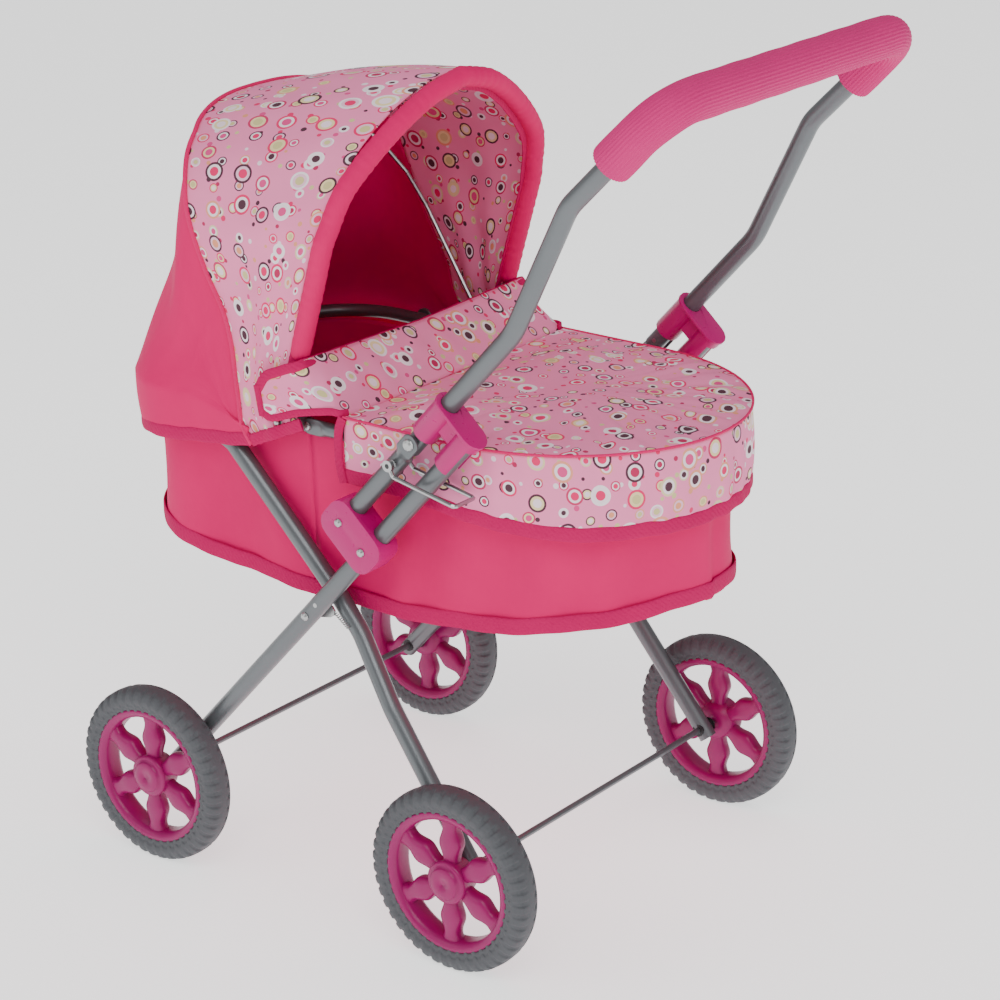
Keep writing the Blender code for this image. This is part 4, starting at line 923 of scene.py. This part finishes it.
@dataclass
class Hood:
    """A fan hood: printed canopy, plain end panel, padded roll and their tapes."""

    half: float = 0.1125

    def front_edge(self) -> Array:
        """The canopy's front edge: from the left foot, behind the roll, to the right foot."""
        foot = [(0.1222, -0.0120, 0.3330), (0.1205, -0.0200, 0.3450), (0.1172, -0.0262, 0.3600),
                (0.1150, -0.0270, 0.3760)]
        top = self.arch(0.400, 0.443, 0.1130, 0.5525, self.front_plane, 1.95)
        return mirrored(smooth_path(foot + top, 90))

    def rear_edge(self) -> Array:
        """The canopy's rear seam, along the rear bow and down to the hem."""
        foot = [(0.1228, -0.0560, 0.3136), (0.1222, -0.0645, 0.3260), (0.1205, -0.0680, 0.3420),
                (0.1170, -0.0735, 0.3600), (0.1155, -0.0770, 0.3780)]
        top = self.arch(0.398, 0.446, 0.1130, 0.5210, self.rear_plane, 2.5)
        return mirrored(smooth_path(foot + top, 90))

    @staticmethod
    def front_plane(z: float) -> float:
        """y of the front edge at height z."""
        return -0.0135 + 0.293 * (z - 0.43)

    @staticmethod
    def rear_plane(z: float) -> float:
        """y of the rear seam at height z."""
        return float(np.interp(z, [0.389, 0.411, 0.433, 0.452, 0.469, 0.482, 0.505, 0.521],
                               [-0.0800, -0.0930, -0.1045, -0.1115, -0.1170, -0.1210, -0.1330, -0.1500]))

    @staticmethod
    def arch(start: float, straight: float, half: float, top: float,
             plane: Callable[[float], float], power: float) -> list[tuple[float, float, float]]:
        """The left half of an arch: x = half cos^(2/n) a, z = straight + (top - straight) sin^(2/n) a."""
        points = [(half, plane(start), start), (half, plane((start + straight) / 2), (start + straight) / 2)]
        for a in np.linspace(0, np.pi / 2, 14):
            x = half * math.cos(a) ** (2 / power) if a < np.pi / 2 - 1e-6 else 0.0
            z = straight + (top - straight) * math.sin(a) ** (2 / power)
            points.append((x, plane(z), z))
        return points

    def canopy(self) -> None:
        """The printed fan between the bows, bulging a little between them."""
        front, rear = self.front_edge(), self.rear_edge()
        s = np.linspace(0, 1, len(front))
        rows = []
        for t in np.linspace(0, 1, 44):
            p = front * (1 - t) + rear * t
            height = np.clip((p[:, 2] - 0.40) / 0.15, 0, 1)
            bulge = 0.0048 * math.sin(math.pi * t) * height
            folds = 0.0016 * creases(s * 1.2, t * 2, 41, 7, 6.0) * math.sin(math.pi * t)
            slack = 0.0016 * np.sin(14 * t + 9 * s) * math.sin(math.pi * t) * (1 - height)
            out = np.stack([p[:, 0] * 4, 0 * s, height], axis=1)
            out /= np.linalg.norm(out, axis=1)[:, None] + 1e-9
            rows.append(p + out * (bulge + folds + slack)[:, None])
        grid = np.array(rows)
        sheet = grid_object("hood_canopy_look", grid, PRINTED)
        flip_outward(sheet, np.array([0, -0.06, 0.40]))
        thicken(sheet, CLOTH, -1.0)
        middle = np.array([0, -0.08, 0.36])
        seam = tube("hood_seam", rear + self.away(rear, middle) * 0.0006, 0.0016, PIPING, 12)
        Tub.settle(sheet, grid, "hood_canopy", "printed_cloth", "stretched", ["front_bow", "rear_bow"],
                   [], ("hood_rear", "hood_front"))
        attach(seam, "hood_rear")
        self.hem("hood_side_hem", grid)

    def hem(self, name: str, grid: Array) -> None:
        """The tape along the canopy's lower side edges."""
        for side, sign, column in (("left", 1, 0), ("right", -1, -1)):
            edge = even(grid[:, column], 40)
            tape = ribbon(f"{name}_{side}", edge + [sign * 0.0003, 0, 0.0030],
                          np.tile([sign, 0, 0], (40, 1)), 0.0085, 0.0020, TAPE, 0.0004)
            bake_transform(tape)

    @staticmethod
    def away(path: Array, middle: Array) -> Array:
        """Directions from a middle point to each point of a path."""
        out = path - middle
        return out / np.linalg.norm(out, axis=1)[:, None]

    def panel(self) -> None:
        """The plain end: from the rear seam down over the front of the hoop, tucked in at the hem."""
        rear = self.rear_edge()
        n = len(rear)
        top = rear.copy()
        top[:, 1] -= 0.0004
        half = 0.1236
        b = np.linspace(0, np.pi / 2, 16)
        corner = 0.066
        front = -0.1985
        run = np.vstack([[[half, -0.0580, 0]], np.stack(
            [half - corner + corner * np.cos(b), front + corner - corner * np.sin(b), 0 * b], axis=1),
            [[0, front, 0]]])
        level = even(mirrored(run), n)
        ease = np.abs(np.linspace(-1, 1, n))
        hoop = level + [0, 0, 1] * (0.338 - 0.012 * np.clip((ease - 0.80) / 0.2, 0, 1))[:, None]
        low = level * [0.997, 0.975, 1] + [0, 0, 1] * (
            0.2995 + 0.0141 * np.clip((ease - 0.35) / 0.65, 0, 1) ** 1.6)[:, None]
        s = np.linspace(0, 1, n)
        rows = []
        for t in np.linspace(0, 1, 40):
            p = top * (1 - t) + hoop * t
            dip = 0.0075 * math.sin(math.pi * t) * np.clip((-p[:, 1] - 0.10) / 0.05, 0, 1)
            folds = 0.0030 * creases(s * 1.1, t * 2, 51, 7, 6.0) * math.sin(math.pi * t) ** 0.8
            pull = 0.0030 * np.sin(16 * s + 7 * t) * math.sin(math.pi * t)
            across = -np.sign(p[:, 0]) * np.abs(folds) * 0.3
            rows.append(p + np.stack([across, dip + folds + pull, 0 * s], axis=1))
        for t in np.linspace(0, 1, 10)[1:]:
            p = hoop * (1 - t) + low * t
            rows.append(p + [0, -0.0015 * math.sin(math.pi * t), 0])
        grid = np.array(rows)
        grid[:, :, 0] = np.clip(grid[:, :, 0], -0.1245, 0.1245)
        sheet = grid_object("hood_panel_look", grid, HOT_PINK)
        flip_outward(sheet, np.array([0, -0.08, 0.38]))
        thicken(sheet, CLOTH, -1.0)
        out = self.away(low, np.array([0, -0.06, 0.30])) * [1, 1, 0.01]
        tape = ribbon("hood_panel_hem", low + [0, 0, 0.0035], out, 0.0095, 0.0020, TAPE, 0.0005)
        Tub.settle(sheet, grid, "hood_rear_panel", "pink_cloth", "hung", ["rear_bow", "front_hoop"], [],
                   ("front_hoop", "hood_rear"))
        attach(tape, "front_hoop")

    def roll(self) -> None:
        """The padded roll along the front bow, gathered a little, and the tape inside it."""
        points = [(0.1110, -0.0220, 0.3760), (0.1110, -0.0150, 0.4000), (0.1110, -0.0060, 0.4300),
                  (0.1110, 0.0013, 0.4550), (0.1080, 0.0050, 0.4675), (0.1050, 0.0087, 0.4800),
                  (0.0990, 0.0123, 0.4925), (0.0870, 0.0160, 0.5050), (0.0720, 0.0196, 0.5175),
                  (0.0540, 0.0233, 0.5300), (0.0300, 0.0270, 0.5420), (0.0, 0.0289, 0.5490)]
        path = mirrored(smooth_path(points, 130))
        s = np.linspace(0, 1, len(path))
        end = np.clip(np.minimum(s, 1 - s) / 0.02, 0, 1)
        size = 0.0068 * (0.55 + 0.45 * np.sqrt(1 - (1 - end) ** 2)) + 0.00030 * creases(s, 0, 61, 6, 60.0)
        roll = tube("hood_roll_look", path, size, HOT_PINK, 28, up=(0, 1, 0))
        Wheels.place(roll, "hood_front", "hood_roll", "pink_cloth")
        inner = path * [0.945, 1, 1] + [0, -0.004, -0.0065]
        toward = np.tile([0, 0.9, -0.2], (len(path), 1))
        tape = ribbon("hood_inner_tape", inner, toward, 0.0060, 0.0016, TAPE)
        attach(tape, "hood_front")
        for side, sign in SIDES:
            edge = smooth_path([(sign * 0.1128, -0.0215, 0.3850), (sign * 0.1150, -0.0245, 0.3700),
                                (sign * 0.1175, -0.0220, 0.3560)], 14)
            outward = np.tile([sign, 0.3, 0], (14, 1))
            low = ribbon(f"hood_front_tape_{side}", edge, outward, 0.0075, 0.0022, TAPE)
            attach(low, "hood_front")

    def build(self) -> None:
        """Makes the hood."""
        self.canopy()
        self.panel()
        self.roll()


@dataclass
class Springs:
    """Coil springs in place of the plain rods."""

    coils: int = 11
    wire: float = 0.00035

    def build(self) -> None:
        """Winds one spring on each side along its rod's box."""
        for side, _ in SIDES:
            low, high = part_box(f"spring_{side}")
            x = (low[0] + high[0]) / 2
            start = np.array([x, low[1] + 0.0012 + AXLE_MID, high[2] - 0.0012])
            end = np.array([x, high[1] - 0.0012 + AXLE_MID, low[2] + 0.0012])
            along = (end - start) / np.linalg.norm(end - start)
            t = np.linspace(0, 1, self.coils * 14)
            up = np.cross(along, [1, 0, 0])
            a = t * self.coils * 2 * np.pi
            path = (start + (end - start) * t[:, None]
                    + 0.0010 * (np.cos(a)[:, None] * [1, 0, 0] + np.sin(a)[:, None] * up))
            coil = tube(f"spring_{side}_look", path, self.wire, STEEL, 8, up=along)
            Wheels.place(coil, "frame", f"spring_{side}", "zinc_steel")


# ---------------------------------------------------------------- studio

@dataclass(frozen=True)
class Lamp:
    """One soft area light."""

    name: str
    place: tuple[float, float, float]
    size: float
    power: float


class Studio:
    """Pale floor, soft light and the camera."""

    lamps = (Lamp("key", (1.6, 1.2, 2.3), 1.6, 30.0), Lamp("fill", (0.6, 2.6, 1.2), 2.0, 9.0),
             Lamp("front", (2.2, -1.3, 1.3), 1.6, 12.0), Lamp("top", (-0.6, -0.2, 2.4), 1.8, 10.0))

    def light(self) -> None:
        """Hangs the lamps and sets the surroundings."""
        for lamp in self.lamps:
            data = bpy.data.lights.new(lamp.name, "AREA")
            data.size = lamp.size
            data.energy = lamp.power
            thing = bpy.data.objects.new(lamp.name, data)
            thing.location = lamp.place
            aim = Vector((0, 0, 0.3)) - Vector(lamp.place)
            thing.rotation_euler = aim.to_track_quat("-Z", "Y").to_euler()
            bpy.context.collection.objects.link(thing)
        world = bpy.data.worlds.new("studio")
        world.use_nodes = True
        world.node_tree.nodes["Background"].inputs[0].default_value = (1.0, 1.0, 1.0, 1.0)
        world.node_tree.nodes["Background"].inputs[1].default_value = 0.40
        bpy.context.scene.world = world

    def floor(self) -> None:
        """A wide pale floor."""
        mesh = bpy.data.meshes.new("floor")
        mesh.from_pydata([(-60, -60, 0), (60, -60, 0), (60, 60, 0), (-60, 60, 0)], [], [(0, 1, 2, 3)])
        thing = bpy.data.objects.new("floor", mesh)
        bpy.context.collection.objects.link(thing)
        thing.data.materials.append(make_material(
            Finish("floor", Surface.PAINT, "#F6F6F6", 0.7, 0.0, 0.0, 0.0, 0.05)))
        shader = thing.data.materials[0].node_tree.nodes["Principled BSDF"]
        shader.inputs["Emission Color"].default_value = (1.0, 1.0, 1.0, 1.0)
        shader.inputs["Emission Strength"].default_value = 1.1

    def camera(self) -> None:
        """Puts the camera where the pram is seen from above its left rear."""
        data = bpy.data.cameras.new("camera")
        data.lens = 109.26
        data.sensor_width = 36.0
        thing = bpy.data.objects.new("camera", data)
        forward = Vector((-0.7412, -0.5745, -0.3472)).normalized()
        right = forward.cross(Vector((0, 0, 1))).normalized()
        up = right.cross(forward)
        turn = math.radians(-0.746)
        side = right * math.cos(turn) + up * math.sin(turn)
        above = up * math.cos(turn) - right * math.sin(turn)
        rotation = Matrix((side, above, -forward)).transposed()
        thing.matrix_world = Matrix.Translation((1.5225, 1.2359 - AXLE_MID, 0.9746)) @ rotation.to_4x4()
        bpy.context.collection.objects.link(thing)
        bpy.context.scene.camera = thing

    def build(self) -> None:
        """Sets the studio up."""
        self.light()
        self.floor()
        self.camera()


def main() -> None:
    """Builds the pram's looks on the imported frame."""
    logging.basicConfig(level=logging.INFO, format="%(name)s: %(message)s")
    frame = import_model()
    Wheels().build()
    Tubes().build()
    tub = Tub()
    tub.basket()
    tub.apron()
    tub.flap()
    Hood().build()
    Springs().build()
    Fittings().build(frame["nodes"])
    Studio().build()


if __name__ == "__main__":
    main()
